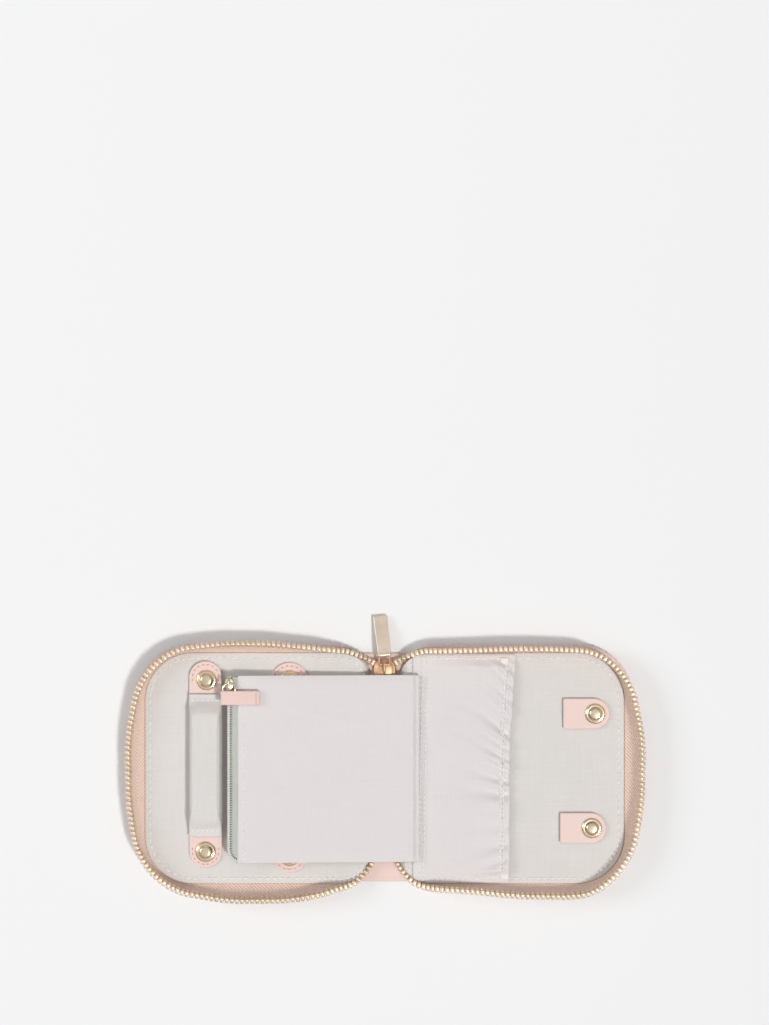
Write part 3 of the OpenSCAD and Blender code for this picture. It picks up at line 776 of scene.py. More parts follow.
def zip_teeth(side):
    feet, rims, outs, run = zip_frame(side)
    count = int(run[-1] / TOOTH_PITCH)
    at = (np.arange(count) + 0.5) * run[-1] / count
    f, r = sample(feet, run, at), sample(rims, run, at)
    ahead = unit(sample(rims, run, at + 0.5) - sample(rims, run, at - 0.5))
    up = unit(r - f)
    along = unit(ahead - up * (ahead * up).sum(1)[:, None])
    out = np.cross(along, up)
    points, faces = tooth_sections()
    shape = Shape()
    for k in range(count):
        thin = 0.72 + 0.28 * smooth((abs(r[k][0]) - 6) / 8)
        wobble = 1 + 0.02 * math.sin(k * 2.4)
        p = r[k] + points[:, :1] * along[k] * wobble + points[:, 1:2] * out[k] * thin
        shape.add(p + points[:, 2:] * up[k], faces)
    shape.placed(lambda p: flip(p, side))
    piece = make(f"{SIDE[side]}_teeth", shape, M_TEETH)
    across_fold(piece)
    extra = ["zip_top_teeth", "zip_bottom_teeth"] if side > 0 else []
    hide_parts(f"{SIDE[side]}_zip_teeth", *extra)


for half in (1, -1):
    leather_skin(half)
    lining(half)
    zip_tape(half)
    zip_teeth(half)


# --- snaps and leather tabs ----------------------------------------------------------

CAP = [(0, 1.9), (1.0, 1.88), (1.7, 1.82), (2.1, 1.73), (2.35, 1.56), (2.6, 1.32), (2.85, 1.07), (3.02, 0.88)]
CAP += [(3.1, 0.78), (3.22, 0.75), (3.42, 0.82), (3.7, 0.78), (3.98, 0.66), (4.2, 0.48), (4.34, 0.3)]
CAP += [(4.4, 0.18), (4.38, 0.08), (4.25, 0.02), (3.0, 0.0), (1.9, 0.0), (1.85, 0.5), (0, 0.55)]


def snap(name, body, *nodes):
    """Domed cap over a rolled flange, one per CAD cap in the nodes."""
    shape = Shape()
    for node, centre in nodes:
        shape.add(*lathe([(r, z) for r, z in CAP][::-1], np.array(centre)))
    make(name, shape, M_SNAP, body, replaces=sorted({n for n, c in nodes}))


def middle(node):
    lo, hi = span(node)
    return np.array([(lo[0] + hi[0]) / 2, (lo[1] + hi[1]) / 2, lo[2]])


def leather_tab(name, start, end, width, z0, z1, place, body, nodes, round_stitches=True):
    """Leather tab from a straight end to a round one, bevelled, with an edge stitch.

    place turns (distance along, sideways, height) into frame coordinates."""
    half = width / 2
    corner = 2.2 if round_stitches else 0.7
    panel = Panel(edges(start, end, half, corner, half, 5, 14, 14)[:-1], 12)
    rings = [(0.35, z0), (0.1, z0 + 0.06), (0.0, z0 + 0.2), (0.0, z1 - 0.38), (0.05, z1 - 0.2)]
    rings += [(0.18, z1 - 0.08), (0.4, z1 - 0.01), (0.62, z1)]
    if round_stitches:
        rings += [(1.1, z1 - 0.03), (1.35, z1 - 0.08), (1.6, z1 - 0.03), (1.9, z1)]
    shape = panel.solid(rings, z0, z1).placed(place)
    make(name, shape, M_LEATHER, body, replaces=nodes)
    if round_stitches:
        loop = panel.ring(1.35, z1 - 0.07)[panel.rows + 3 : -3]
        loop = loop[loop[:, 0] > end - half * 1.35]
        sewn = stitches(Shape(), place(loop), 2.2, 1.4, 0.2)
        make(name + "_stitches", sewn, M_ROSE_THREAD, body)


def along_y(x, y0, way):
    """Places a tab so that it runs along Y from y0, towards +Y or -Y."""
    return lambda p: np.column_stack([p[:, 1] * 1.0 + x, y0 + way * p[:, 0], p[:, 2]])


def tab_along_y(name, node, body, y0, y1):
    """A tab on a CAD tab, running along Y from its straight end at y0 to its round one."""
    lo, hi = span(node)
    x = (lo[0] + hi[0]) / 2
    place = along_y(x, y0, np.sign(y1 - y0))
    leather_tab(name, 0, abs(y1 - y0), hi[0] - lo[0], lo[2], hi[2], place, body, [node])
    return x


base_lo, base_hi = span("ring_base_tab")
tab_along_y("ring_base_leather", "ring_base_tab", "left_half", base_hi[1], base_lo[1])
snap("ring_base_cap", "left_half", ("ring_base_snap", middle("ring_base_snap")))

tab_lo, tab_hi = span("ring_tab")
tab_along_y("ring_leather", "ring_tab", "ring_bar", tab_lo[1], tab_hi[1])
snap("ring_dome", "ring_bar", ("ring_cap", middle("ring_cap")))

ear_lo, ear_hi = span("earring_tabs")
for label, y0, y1 in (("top", 26, ear_hi[1]), ("bottom", -26, ear_lo[1])):
    ear_x = tab_along_y(f"earring_leather_{label}", "earring_tabs", "left_half", y0, y1)
snaps_lo, snaps_hi = span("earring_snaps")
half_flange = (snaps_hi[0] - snaps_lo[0]) / 2
snap("earring_caps", "left_half",
     ("earring_snaps", (ear_x, snaps_hi[1] - half_flange, snaps_lo[2])),
     ("earring_snaps", (ear_x, snaps_lo[1] + half_flange, snaps_lo[2])))

for label, body in (("upper", "upper_strap"), ("lower", "lower_strap")):
    lo, hi = span(label + "_tab")
    y = (lo[1] + hi[1]) / 2
    leather_tab(f"{label}_leather", 0, hi[0] - lo[0], hi[1] - lo[1], lo[2], hi[2],
                lambda p, x=lo[0], y=y: np.column_stack([p[:, 0] + x, p[:, 1] + y, p[:, 2]]),
                body, [label + "_tab"], round_stitches=False)
    snap(f"{label}_dome", body, (label + "_cap", middle(label + "_cap")))


# --- main slider and pull ------------------------------------------------------------

slider_lo, slider_hi = span("main_slider")
SLIDER_Y = 42.0


def plate(outline, z0, z1, bevel, dome=0.0):
    """Points and faces of a bevelled plate over an outline, its top swelling by dome."""
    outline = np.asarray(outline, float)
    centre = outline.mean(0)
    levels = [(1 - bevel / 3, z0), (1.0, z0 + bevel * 0.4), (1.0, z1 - bevel * 0.6)]
    levels += [(1 - bevel / 6, z1 - bevel * 0.15), (1 - bevel / 2.6, z1)]
    levels += [(s, z1 + dome * (1 - s**2)) for s in (0.75, 0.55, 0.35, 0.15)]
    flat = np.ones(len(outline))
    return loft([np.column_stack([centre + (outline - centre) * s, flat * z]) for s, z in levels])


def rounded(half_w, half_h, radius, y=0.0):
    """Outline of a rounded rectangle whose corners' centres are half_w and half_h from its own."""
    corners = zip([(1, 1), (-1, 1), (-1, -1), (1, -1)], (0, 90, 180, 270))
    turns = [(cx, cy, math.radians(a + d)) for (cx, cy), a in corners for d in range(0, 91, 15)]
    x = [cx * half_w + radius * math.cos(r) for cx, cy, r in turns]
    return np.column_stack([x, [y + cy * half_h + radius * math.sin(r) for cx, cy, r in turns]])


def slider_outline(w, h, neck):
    """Shield shape, wide where the two chains go in."""
    t = np.linspace(0, 2 * math.pi, 64, endpoint=False)
    x, y = np.cos(t), np.sin(t)
    wide = w / 2 * (1 - neck * smooth((-y + 0.1) / 1.1))
    boxy = 0.72
    return np.column_stack([np.sign(x) * np.abs(x) ** boxy * wide, np.sign(y) * np.abs(y) ** boxy * h / 2])


shape = Shape()
for outline, *levels in ((slider_outline(9.4, 9.0, 0.14), 4.35, 5.0, 0.45, 0.9),
                         (slider_outline(7.9, 8.0, 0.18), 1.95, 2.45, 0.3)):
    shape.add(*plate(outline + np.array([0, SLIDER_Y]), *levels))
for s in (1, -1):
    wing = [(s * 4.1, 39.4, 4.2), (s * 4.25, 41, 4.15), (s * 4.2, 43, 4.15), (s * 4.0, 44.6, 4.2)]
    shape.add(*sweep(wing, 0.32, 8))
post = [(0.0, 41.0, z) for z in (2.2, 3.0, 3.8, 4.6)]
shape.add(*sweep(post, 1.2, 16, up=(0, 1, 0)))
arch = [(0, 41.2, 5.0), (0, 41.2, 6.2), (0, 41.5, 7.2), (0, 42.3, 7.66), (0, 43.6, 7.7), (0, 44.9, 7.62)]
arch += [(0, 45.75, 7.1), (0, 45.95, 6.2), (0, 45.7, 5.2), (0, 45.0, 4.9)]
arch, _ = resample(arch, count=40)
shape.add(*sweep(arch, 0.66, 14, squeeze=0.7, up=(1, 0, 0)))
make("main_slider_body", shape, M_SLIDER, "spine", replaces=["main_slider"])

stop_lo, stop_hi = span("zip_stop")
outline = rounded(1.6, 0.7, 0.6, (stop_lo[1] + stop_hi[1]) / 2)
shape = Shape().add(*plate(outline, stop_lo[2], stop_hi[2], 0.4, 0.1))
make("chain_stop", shape, M_SLIDER, "spine", replaces=["zip_stop"])

PULL = np.array([0.0, 44.6, 6.0])
DROP, BAR_LEAN = math.radians(13.5), math.radians(6.6)


def on_pull(points):
    p = np.asarray(points, float)
    c, s = math.cos(DROP), math.sin(DROP)
    return PULL + np.column_stack([p[:, 0], p[:, 1] * c + p[:, 2] * s, -p[:, 1] * s + p[:, 2] * c])


link = rounded(1.6, 1.6, 0.6, 2.2)
link = np.column_stack([link, np.zeros(len(link))])
shape = Shape().add(*sweep(on_pull(link), 0.5, 12, closed=True))
make("pull_link", shape, M_SLIDER, "main_pull", replaces=["main_pull_link"])


def on_bar(points):
    p = np.asarray(points, float)
    c, s = math.cos(BAR_LEAN), math.sin(BAR_LEAN)
    x, y = p[:, 0] * c - p[:, 1] * s, p[:, 0] * s + p[:, 1] * c
    return on_pull(np.column_stack([x, y + 4.4, p[:, 2]]))


bar = Panel(edges(-0.6, 16.9, 3.05, 0.35, 0.45, 4, 4, 20), 8)
bar_rings = [(0.3, -0.85), (0.06, -0.72), (0, -0.5), (0, 0.5), (0.06, 0.72), (0.2, 0.85), (0.33, 0.88)]


def place_bar(p):
    wide = 1 - 0.07 * (1 - (p[:, 0] + 0.6) / 17.5)
    return on_bar(np.column_stack([p[:, 1] * wide, p[:, 0], p[:, 2]]))


shape = bar.solid(bar_rings, -0.85, 0.88).placed(place_bar)
roll = [(x, 0, 0) for x in np.linspace(-2.7, 2.7, 9)]
shape.add(*sweep(on_bar(np.array(roll) + [0, -0.1, 0]), 1.0, 16))
make("pull_bar", shape, M_BAR, "main_pull", replaces=["main_pull_bar"])


# --- ring roll and earring strap -----------------------------------------------------

roll_lo, roll_hi = span("ring_roll")
ROLL_X = (roll_lo[0] + roll_hi[0]) / 2


def inflate(name, rings, cap, hold):
    """Pressurised cloth over closed rings of points, as a stuffed tube; the ends stay put.

    The cloth is solved at ten times its size, and a point moves at most cap millimetres."""
    shape = Shape().add(*loft(rings))
    points = np.concatenate(shape.points)
    scale = 10.0
    mesh = bpy.data.meshes.new(name)
    mesh.from_pydata((points * MM * scale).tolist(), [], shape.faces)
    blank = bpy.data.objects.new(name, mesh)
    bpy.context.scene.collection.objects.link(blank)
    group = blank.vertex_groups.new(name="held")
    for i in np.nonzero(hold(points))[0]:
        group.add([int(i)], 1.0, "REPLACE")
    cloth = blank.modifiers.new("Cloth", "CLOTH")
    s = cloth.settings
    s.quality = 6
    s.mass = 0.3
    s.tension_stiffness = s.compression_stiffness = 18
    s.shear_stiffness = 8
    s.bending_stiffness = 0.6
    s.use_pressure = True
    s.uniform_pressure_force = 4.0
    s.effector_weights.gravity = 0
    s.vertex_group_mass = "held"
    s.shrink_min = -0.015
    cloth.point_cache.frame_start, cloth.point_cache.frame_end = 1, 20
    scene = bpy.context.scene
    for f in range(1, 21):
        scene.frame_set(f)
    solved = blank.evaluated_get(bpy.context.evaluated_depsgraph_get())
    co = np.empty(len(points) * 3)
    solved.data.vertices.foreach_get("co", co)
    moved = co.reshape(-1, 3) / MM / scale - points
    far = np.linalg.norm(moved, axis=1)
    moved *= np.minimum(1, cap / np.maximum(far, 1e-9))[:, None]
    bpy.data.objects.remove(blank)
    scene.frame_set(1)
    return points + moved, shape.faces


def roll_rings():
    """Sections of the stuffed ring roll: flat where it is sewn, fuller along its middle."""
    rings = []
    w, top, low = (roll_hi[0] - roll_lo[0]) / 2, roll_hi[2] - 0.15, roll_lo[2] + 0.35
    inner = np.linspace(roll_lo[1] + 0.4, roll_hi[1] - 0.4, 60)
    for y in (roll_lo[1] + 0.05, *inner, roll_hi[1] - 0.05):
        full = smooth((y - roll_lo[1] - 1.2) / 8.5) * smooth((roll_hi[1] - 1.2 - y) / 8.5)
        mid = 6.4 * (1 - full) + (top + low) / 2 * full
        thick = 0.62 * (1 - full) + (top - low) / 2 * full
        ring = []
        for a in np.linspace(0, 2 * math.pi, 64, endpoint=False):
            c, s = math.cos(a), math.sin(a)
            x = np.sign(c) * abs(c) ** 0.34 * (w - 0.35)
            z = np.sign(s) * abs(s) ** (0.6 - 0.1 * full) * thick
            ring.append((ROLL_X + x, y, mid + z))
        rings.append(ring)
    return rings


points, faces = inflate(
    "roll_cloth",
    roll_rings(),
    0.4,
    lambda p: (p[:, 1] < roll_lo[1] + 3.6) | (p[:, 1] > roll_hi[1] - 3.6),
)
near_end = np.minimum(points[:, 1] - roll_lo[1], roll_hi[1] - points[:, 1])
crease = 0.1 * np.sin(points[:, 0] / 1.3 + points[:, 1] * 0.2) * np.exp(-(((near_end - 4.5) / 2.5) ** 2))
channel = -0.14 * np.exp(-(((near_end - 2.6) / 0.5) ** 2)) * np.sign(points[:, 2] - 6.4)
points[:, 2] = np.clip(points[:, 2] + crease + channel, roll_lo[2] + 0.02, roll_hi[2] - 0.02)
points[:, 0] = np.clip(points[:, 0], roll_lo[0] + 0.02, roll_hi[0] - 0.02)
shape = Shape().add(points, faces)
piece = make("ring_roll_cloth", shape, M_LINING, "ring_bar", replaces=["ring_roll"])
core = points.reshape(-1, 64, 3)[3:-3]
middle_line = core.mean(1, keepdims=True)
stuffing = Shape().add(*loft(middle_line + (core - middle_line) * 0.88))
make("ring_roll_stuffing", stuffing, M_STUFFING, "ring_bar", replaces=["ring_filling"])
sewn, top = Shape(), points[points[:, 2] > 6.5]
for y in (roll_lo[1] + 2.6, roll_hi[1] - 2.6):
    row = [(ROLL_X + x, y) for x in np.linspace(-6.4, 6.4, 30)]
    stitches(sewn, [(*p, top[np.argmin(((top[:, :2] - p) ** 2).sum(1)), 2]) for p in row], 2.1, 1.3, 0.27)
make("ring_roll_stitches", sewn, M_THREAD, "ring_bar")

strap_lo, strap_hi = span("earring_strap")
strap = Panel(edges(strap_lo[1], strap_hi[1], (strap_hi[0] - strap_lo[0]) / 2, 2.3, 2.3, 5, 5, 30), 12)


def on_strap(p):
    return np.column_stack([p[:, 1] + ear_x, p[:, 0], p[:, 2]])


z0, z1 = strap_lo[2] + 0.02, strap_hi[2]
swell = lambda x, y: z1 - 0.12 + 0.1 * np.cos(y / 6.0) + 0.04 * np.sin(x / 5.0)
rings = [(0.4, z0), (0.1, z0 + 0.1), (0, z0 + 0.4), (0, z1 - 0.6), (0.15, z1 - 0.3)]
rings += [(0.6, z1 - 0.15), (1.3, z1 - 0.12), (1.7, z1 - 0.24), (2.1, z1 - 0.12)]
shape = strap.solid(rings, z0, swell).placed(on_strap)
piece = make("earring_band", shape, M_LINING, "left_half", replaces=["earring_strap"])
ring = strap.ring(1.7, z1 - 0.2)
sewn = stitches(Shape(), on_strap(np.vstack([ring, ring[:1]])), 2.8, 1.9, 0.17)
make("earring_band_stitches", sewn, M_THREAD, "left_half")


# --- zipped page ---------------------------------------------------------------------

bind_lo, bind_hi = span("page_binding")
HINGE = np.array([(bind_lo[0] + bind_hi[0]) / 2, 0, (bind_lo[2] + bind_hi[2]) / 2])
PAGE_Y0, PAGE_Y1 = bind_lo[1], bind_hi[1]
SLOPE = math.radians(3.0)
REACH, PANEL_X0, PANEL_X1 = 80.2, 1.6, 76.6


def on_page(p):
    x, y, z = np.asarray(p, float).T
    c, s = math.cos(SLOPE), math.sin(SLOPE)
    return np.column_stack([HINGE[0] - x * c + z * s, y, HINGE[2] + x * s + z * c])


page_mid, page_half = (PAGE_Y0 + PAGE_Y1) / 2, (PAGE_Y1 - PAGE_Y0) / 2
page_panel = Panel(edges(PANEL_X0, PANEL_X1, page_half, 0.8, 0.6, 4, 4, 70), 64)


def ripple(x, y):
    """Slack in the page's cloth: long shallow waves and a few soft creases."""
    waves = 0.15 * np.sin(x / 9.5 + 0.6 * np.sin(y / 13.0)) * np.cos(y / 17.0 + 0.4)
    waves += 0.08 * np.sin((x * 0.35 + y) / 4.8 + 1.3 * np.sin(x / 21.0)) * smooth((x - 30) / 40)
    for slope, at, wide, x0, x1, high in (
        (0.22, 14, 1.5, 8, 66, 0.15), (-0.31, -4, 1.3, 20, 74, 0.13), (0.12, -22, 1.8, 14, 60, 0.1),
        (0.5, 34, 1.2, 30, 72, 0.1), (-0.12, 24, 2.2, 4, 44, 0.12),
    ):
        ends = smooth((x - x0) / 14) * smooth((x1 - x) / 14)
        waves += high * np.exp(-(((x * slope - y + at) / wide) ** 2)) * ends
    return waves + 0.06 * np.sin(y / 1.9 + x / 6.0) * np.exp(-((PANEL_X1 - x) / 4.0))


def page_cloth(name, node, outer, sign):
    """One face of the page: folded in at its edges, sewn to the zip along the far one."""
    def level(less, share=1.0):
        def z(x, y):
            inside = smooth((40 - np.abs(y)) / 5) * smooth((x - PANEL_X0) / 6)
            puff = 0.3 * inside * (0.4 + 0.6 * smooth((PANEL_X1 - x) / 12))
            sewn = 0.1 * np.exp(-(((PANEL_X1 - 2.3 - x) / 0.45) ** 2))
            pinch = 0.32 * (1 - smooth((page_half - np.abs(y)) / 2.0))
            sewn = sewn + pinch * smooth((PANEL_X1 - 4 - x) / 6)
            return outer - 0.3 - less + share * (puff - sewn + ripple(x, y) * (0.25 + 0.75 * inside))
        return z

    rings = [(0.45, level(0.46, 0.9)), (0.1, level(0.38)), (0.0, level(0.24)), (0.05, level(0.1))]
    rings += [(0.2, level(0.02)), (0.45, level(0))]
    shape = page_panel.solid(rings, level(0.46, 0.9), level(0))
    shape.placed(lambda p: on_page(p * (1, 1, sign) + (0, page_mid, 0)))
    piece = make(name, shape, M_PAGE, "page", replaces=[node])
    row = np.array([(PANEL_X1 - 2.3, y, 0) for y in np.linspace(PAGE_Y0 + 1.0, PAGE_Y1 - 1.0, 160)])
    row[:, 2] = sign * level(-0.02)(row[:, 0], row[:, 1] - page_mid)
    sewn = stitches(Shape(), on_page(row), 1.9, 1.25, 0.24, up=(0, 0, sign), slant=0.25)
    make(name + "_stitches", sewn, M_THREAD, "page")


page_cloth("page_front_cloth", "page_front", 1.1, 1)
page_cloth("page_back_cloth", "page_back", 1.1, -1)

# the page's zip: a coil that turns in at the lower corner, sewn on two woven tapes
BEND = 5.2


def zip_path(pitch=None, count=None):
    """The coil's middle line in the page's own axes, from the top down and round."""
    line = [(REACH, y, 0) for y in np.linspace(PAGE_Y1 - 0.6, PAGE_Y0 + BEND + 0.8, 60)]
    for a in np.linspace(0, -1.35, 16)[1:]:
        line.append((REACH - BEND + BEND * math.cos(a), PAGE_Y0 + BEND + 0.8 + BEND * math.sin(a), 0))
    line.append((PANEL_X1 - 1.6, PAGE_Y0 + 0.85, 0))
    return resample(line, pitch, count)[0]


def thick_cloth(rows, thick):
    """Closed sections of cloth of this thickness under rows of points."""
    upper = np.array(rows)
    return np.concatenate([upper, (upper - np.array([0, 0, thick]))[:, ::-1]], axis=1)


for label, z in (("front", 0.68), ("back", -0.88)):
    line = zip_path(count=150)
    rows, marks = [], []
    for k, (x1, y1, _) in enumerate(line):
        low = smooth((PAGE_Y0 + BEND + 3 - y1) / BEND)
        inner = np.array([PANEL_X1 - 2.6, y1 + 2.2 * low])
        outer = np.array([x1, y1]) + unit(inner - np.array([x1, y1])) * 0.85
        t = np.linspace(0, 1, 9)
        p = inner + (outer - inner) * t[:, None]
        sag = 0.06 * np.sin(p[:, 1] / 6.0) - 0.3 * smooth((t - 0.75) / 0.25) + 0.05 * np.sin(t * 9)
        rows.append(np.column_stack([p, z + sag * np.sign(z)]))
    shape = Shape().add(*loft(thick_cloth(rows, 0.34))).placed(on_page)
    make(f"page_{label}_zip_tape", shape, M_SAGE, "page", replaces=[f"page_{label}_tape"])

coil = Shape()
line = zip_path(pitch=1.02)
ways = unit(np.gradient(line, axis=0))
for p, way in zip(line[1:-1], ways[1:-1]):
    across = np.array([-way[1], way[0], 0])
    turn = np.array([(-0.95, -0.12, -0.35), (-0.92, 0, 0.42), (0, 0.1, 0.78), (0.75, 0.2, 0.42),
                     (0.8, 0.25, -0.3), (0, 0.15, -0.74), (-0.88, 0, -0.5)])
    turn = p + across * turn[:, :1] + way * turn[:, 1:2] + np.array([0, 0, 1]) * turn[:, 2:]
    coil.add(*sweep(on_page(turn), 0.28, 8, up=(0.3, 1, 0)))
sideways = np.column_stack([-ways[:, 1], ways[:, 0], np.zeros(len(ways))])
coil.add(*sweep(on_page(line + sideways * 0.3), 0.62, 10, squeeze=1.1))
# the dark cord along the coil's inner side shows between the turns as painted shade
coil.add(*sweep(on_page(line - sideways * 0.62), 0.34, 10, squeeze=1.9), 1)
make("page_coil", coil, [M_COIL, M_CORE_SHADE], "page", replaces=["page_chain"])

shape = Shape()
for p, way, high in ((line[0], ways[0], 1.0), (line[-1], ways[-1], 0.6)):
    across = np.array([-way[1], way[0], 0])
    staple = [(-0.9, -0.8), (-1.0, 0.3), (-0.8, 0.85), (0, 0.95), (0.8, 0.85), (1.0, 0.3), (0.9, -0.8)]
    staple = np.array([p + across * a * high + np.array([0, 0, b * high]) for a, b in staple])
    shape.add(*sweep(on_page(staple), 0.33 * high, 8, up=(0.3, 1, 0)))
make("page_chain_stops", shape, M_PAGE_METAL, "page", replaces=["page_stops"])

SL_Y = 36.7

shape = Shape()
body_outline = slider_outline(3.2, 5.2, 0.2) + np.array([REACH, SL_Y])
for levels in ((1.08, 1.65, 0.3, 0.12), (-1.65, -1.08, 0.3)):
    points, faces = plate(body_outline, *levels)
    shape.add(on_page(points), faces)
wall = [(REACH + 1.35, SL_Y - 1.6, 0), (REACH + 1.4, SL_Y, 0), (REACH + 1.35, SL_Y + 1.8, 0)]
shape.add(*sweep(on_page(wall), 0.42, 8, squeeze=2.6))
bail = [(-2.3, 1.5), (-2.35, 2.6), (-1.7, 3.3), (0, 3.38), (1.4, 3.3), (2.0, 2.6), (1.95, 1.5)]
bail, _ = resample([(REACH + 0.1, SL_Y + y, z) for y, z in bail], count=28)
shape.add(*sweep(on_page(bail), 0.42, 10, up=(1, 0, 0)))
make(
    "page_zip_slider_body", shape, M_PAGE_METAL, "page_zip_slider", replaces=["page_slider"]
)

turns = np.linspace(0, 2 * math.pi, 48, endpoint=False)
ring = [(REACH + 0.1 + 2.652 * math.cos(a), 34.6 + 2.6 * math.sin(a), 2.3) for a in turns]
shape = Shape().add(*sweep(on_page(ring), 0.45, 12, closed=True))
make("page_pull_wire", shape, M_PAGE_METAL, "page_pull", replaces=["page_pull_ring"])

pull = Panel(edges(REACH - 12.9, REACH + 3.7, 3.0, 0.5, 0.5, 4, 4, 110), 10)
z0, z1 = 1.35, 3.25


def pull_top(x, y):
    """The pull's upper face, with the crease where its end is turned over."""
    turned = 0.16 * smooth((REACH - 11.4 - x) / 0.3) - 0.5 * np.exp(-(((x - REACH + 11.2) / 0.22) ** 2))
    return z1 - 0.16 + turned + 0.06 * smooth((2.6 - np.abs(y)) / 2)


rings = [(0.3, z0), (0.05, z0 + 0.08), (0, z0 + 0.3), (0, z1 - 0.55), (0.08, z1 - 0.3), (0.26, z1 - 0.19)]
rings += [(0.45, pull_top)]
shape = pull.solid(rings, z0, pull_top).placed(lambda p: on_page(p + (0, 30.9, 0)))
make(
    "page_pull_leather", shape, M_PULL_LEATHER, "page_pull", replaces=["page_pull_tab"]
)

# binding roll along the hinge, with the tongue that carries the page's two cloths
ys = np.linspace(PAGE_Y0, PAGE_Y1, 90)
section = [(0.95 * math.cos(a), 0.95 * math.sin(a)) for a in np.radians(np.arange(25, 336, 15.5))]
section += [(1.6, -0.34), (3.4, -0.3), (6.2, -0.26), (6.2, 0.26), (3.4, 0.3), (1.6, 0.34)]
rows = [[(x, y, z + 0.05 * math.sin(y / 5.0 + x)) for x, z in section] for y in ys]
points, faces = loft(rows)
shape = Shape().add(on_page(points), faces)
piece = make("page_roll_edge", shape, M_PAGE, replaces=["page_binding"])
on_page([(1.3, 0, 0)])[0] * MM
on_page([(4.0, 0, 0)])[0] * MM
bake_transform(piece)

# --- gathered pocket -----------------------------------------------------------------

pocket_lo, pocket_hi = span("gathered_pocket")
P_Y0, P_Y1 = -LINING_Y + 0.3, LINING_Y - 0.3
BED = LINING_Z + 0.05


def mouth(y):
    """X of the pocket's mouth: a slack, slightly wavy line, furthest out at the top."""
    t = (y - P_Y0) / (P_Y1 - P_Y0)
    wavy = 0.12 * np.sin(y / 3.1) + 0.08 * np.sin(y / 1.7 + 1.0)
    return 53.5 + 2.6 * smooth((t - 0.45) / 0.6) ** 1.3 + wavy


def gathers(d, y):
    """Height of the folds that fan out from the mouth; d is the distance back from it."""
    slope = 0.85 * smooth((y + 22) / 44) - 0.4 * smooth((-22 - y) / 24)
    fan = y - slope * d * (1 - d / 90) + 1.5 * np.sin(y / 13.0)
    fade = np.exp(-np.maximum(d - 3.4, 0) / 11.0)
    deep = np.sin(fan / 0.95 + 1.6 * np.sin(fan / 7.0)) * 0.42 * np.exp(-np.maximum(d - 3.4, 0) / 7.0)
    long = np.sin(fan / 1.75 + 1.3 * np.sin(fan / 11.0 + 1.0)) * 0.5 * fade
    wide = np.sin(fan / 3.7 + 0.8 * np.sin(fan / 17.0 + 2.0)) * 0.42 * np.exp(-d / 20.0)
    patch = 0.55 + 0.45 * np.sin(fan / 6.1 + 0.6) * np.sin(fan / 15.0)
    pinch = 1 - 0.85 * np.exp(-(((d - 3.3) / 0.9) ** 2))
    lip = 0.45 + 0.55 * smooth(d / 2.2)
    return (1.25 + 0.6 * smooth((y + 24) / 20)) * (deep + long * patch + wide) * pinch * lip


rows, cols = 260, 90
ys = np.linspace(P_Y0, P_Y1, rows)
upper = []
for y in ys:
    m = mouth(y)
    t = np.linspace(0, 1, cols) ** 0.8
    x = 12.0 + (m - 12.0) * t
    d = m - x
    rim = min(y - P_Y0, P_Y1 - y)
    edge = smooth((rim - 2.0) / 4.0)
    seam = smooth((x - 12.6) / 6.0)
    rise = 0.75 + 1.75 * smooth((x - 16) / 36) * edge
    channel = -0.28 * np.exp(-(((d - 3.3) / 0.55) ** 2)) - 0.3 * smooth((0.5 - d) / 0.5)
    stitched = -0.25 * np.exp(-(((x - 15.4) / 0.5) ** 2)) - 0.25 * np.exp(-(((x - 17.4) / 0.5) ** 2))
    z = BED + 0.05 + rise * (0.35 + 0.65 * seam) + gathers(d, y) * edge * seam + channel * edge + stitched
    z = np.clip(z, BED + 0.35, 7.6) - 0.5 * (1 - smooth(rim / 0.9))
    z = z - 0.12 * math.exp(-(((rim - 1.95) / 0.4) ** 2))
    upper.append(np.column_stack([x, np.full(cols, y), z]))
shape = Shape().add(*loft(thick_cloth(upper, 0.34)))
replaced = ["gathered_pocket", "page_seam"]
piece = make("pocket_cloth", shape, M_PAGE, "right_half", replaces=replaced)


def on_pocket(x, y):
    """A point just above the pocket's upper face."""
    row = upper[int(np.clip(np.searchsorted(ys, y), 0, rows - 1))]
    return x, y, float(np.interp(x, row[:, 0], row[:, 2])) + 0.02


sewn = Shape()
for back in (2.75, 3.85):
    line = [on_pocket(mouth(y) - back, y) for y in np.linspace(P_Y0 + 3.4, P_Y1 - 3.4, 260)]
    stitches(sewn, line, 2.0, 1.3, 0.27)
for x0 in (15.4, 17.4):
    line = [on_pocket(x0 + 1.6 * (y / 97.0), y) for y in np.linspace(P_Y0 + 0.8, P_Y1 - 0.8, 200)]
    stitches(sewn, line, 2.2, 1.35, 0.28, slant=0.15)
for y in (LINING_Y - 2.25, 2.25 - LINING_Y):
    line = [on_pocket(x, y) for x in np.linspace(19, mouth(y) - 5.5, 60)]
    stitches(sewn, line, 3.1, 2.1, 0.32)
make("pocket_stitches", sewn, M_THREAD, "right_half")


# --- carried-over CAD nodes ----------------------------------------------------------

hidden = {
    "left_board": M_BOARD, "right_board": M_BOARD, "left_padding": M_FOAM, "right_padding": M_FOAM,
    "pocket_elastic": M_ELASTIC, "ring_stud": M_SNAP, "necklace_studs": M_SNAP,
}
for node, material in hidden.items():
    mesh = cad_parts[node].data
    mesh.materials.clear()
    mesh.materials.append(material)


# --- stage, lights and camera --------------------------------------------------------

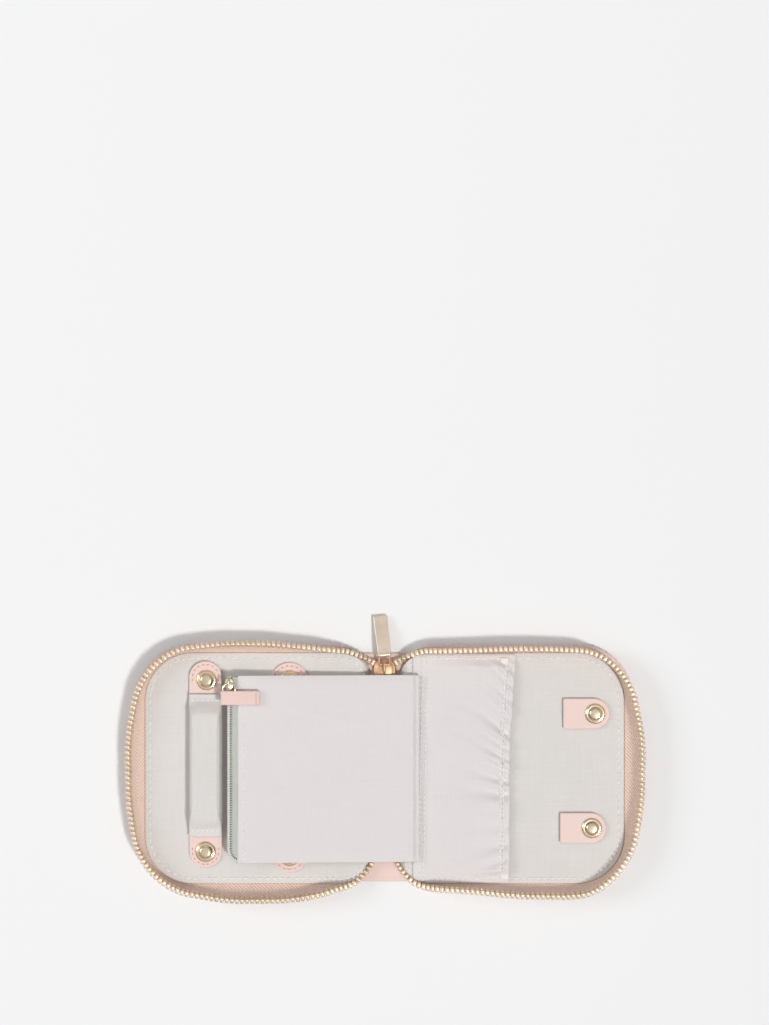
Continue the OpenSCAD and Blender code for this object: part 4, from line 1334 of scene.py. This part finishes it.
scene = bpy.context.scene
floor = bpy.data.meshes.new("floor")
corners = [(-4, -4, -0.0002), (4, -4, -0.0002), (4, 4, -0.0002), (-4, 4, -0.0002)]
floor.from_pydata(corners, [], [(0, 1, 2, 3)])
g = Graph("paper floor")
g.set(Base_Color=(0.835, 0.838, 0.844, 1), Roughness=0.9, Specular_IOR_Level=0.1)
floor.materials.append(g.material)
floor = bpy.data.objects.new("floor", floor)
scene.collection.objects.link(floor)

world = bpy.data.worlds.new("studio")
world.use_nodes = True
scene.world = world
tree = world.node_tree
back = tree.nodes["Background"]
coords = tree.nodes.new("ShaderNodeTexCoord")
split = tree.nodes.new("ShaderNodeSeparateXYZ")
tones = tree.nodes.new("ShaderNodeValToRGB")
tree.links.new(coords.outputs["Generated"], split.inputs[0])
tree.links.new(split.outputs[2], tones.inputs[0])
tree.links.new(tones.outputs[0], back.inputs[0])
tones.color_ramp.elements.new(0.55)
for element, (where, tone) in zip(tones.color_ramp.elements, ((0.0, 0.06), (0.5, 0.66), (1.0, 1.0))):
    element.position, element.color = where, (tone, tone, tone, 1)
back.inputs[1].default_value = 0.605


def aim(light, place):
    piece = bpy.data.objects.new(light.name, light)
    piece.location = place
    piece.rotation_mode = "QUATERNION"
    piece.rotation_quaternion = (-Vector(place)).to_track_quat("-Z", "Y")
    scene.collection.objects.link(piece)


key = bpy.data.lights.new("key", "SUN")
key.energy, key.angle, key.color = 1.75, math.radians(8), (1.0, 0.99, 0.975)
aim(key, (1.0, -0.8, 2.3))
fill = bpy.data.lights.new("fill", "AREA")
fill.shape, fill.size, fill.energy, fill.color = "DISK", 1.4, 23.0, (0.97, 0.985, 1.0)
aim(fill, (-2.45, 0.5, 1.65))


VIEW_H, DISTANCE = 0.4399, 0.9
camera = bpy.data.cameras.new("camera")
camera.sensor_width = 36
camera.lens = 36 * DISTANCE / VIEW_H
camera.clip_start, camera.clip_end = 0.01, 20
camera = bpy.data.objects.new("camera", camera)
camera.location = (0, 0.1097, DISTANCE + 0.004)
scene.collection.objects.link(camera)
scene.camera = camera
scene.view_settings.view_transform = "Standard"
scene.view_settings.look = "None"
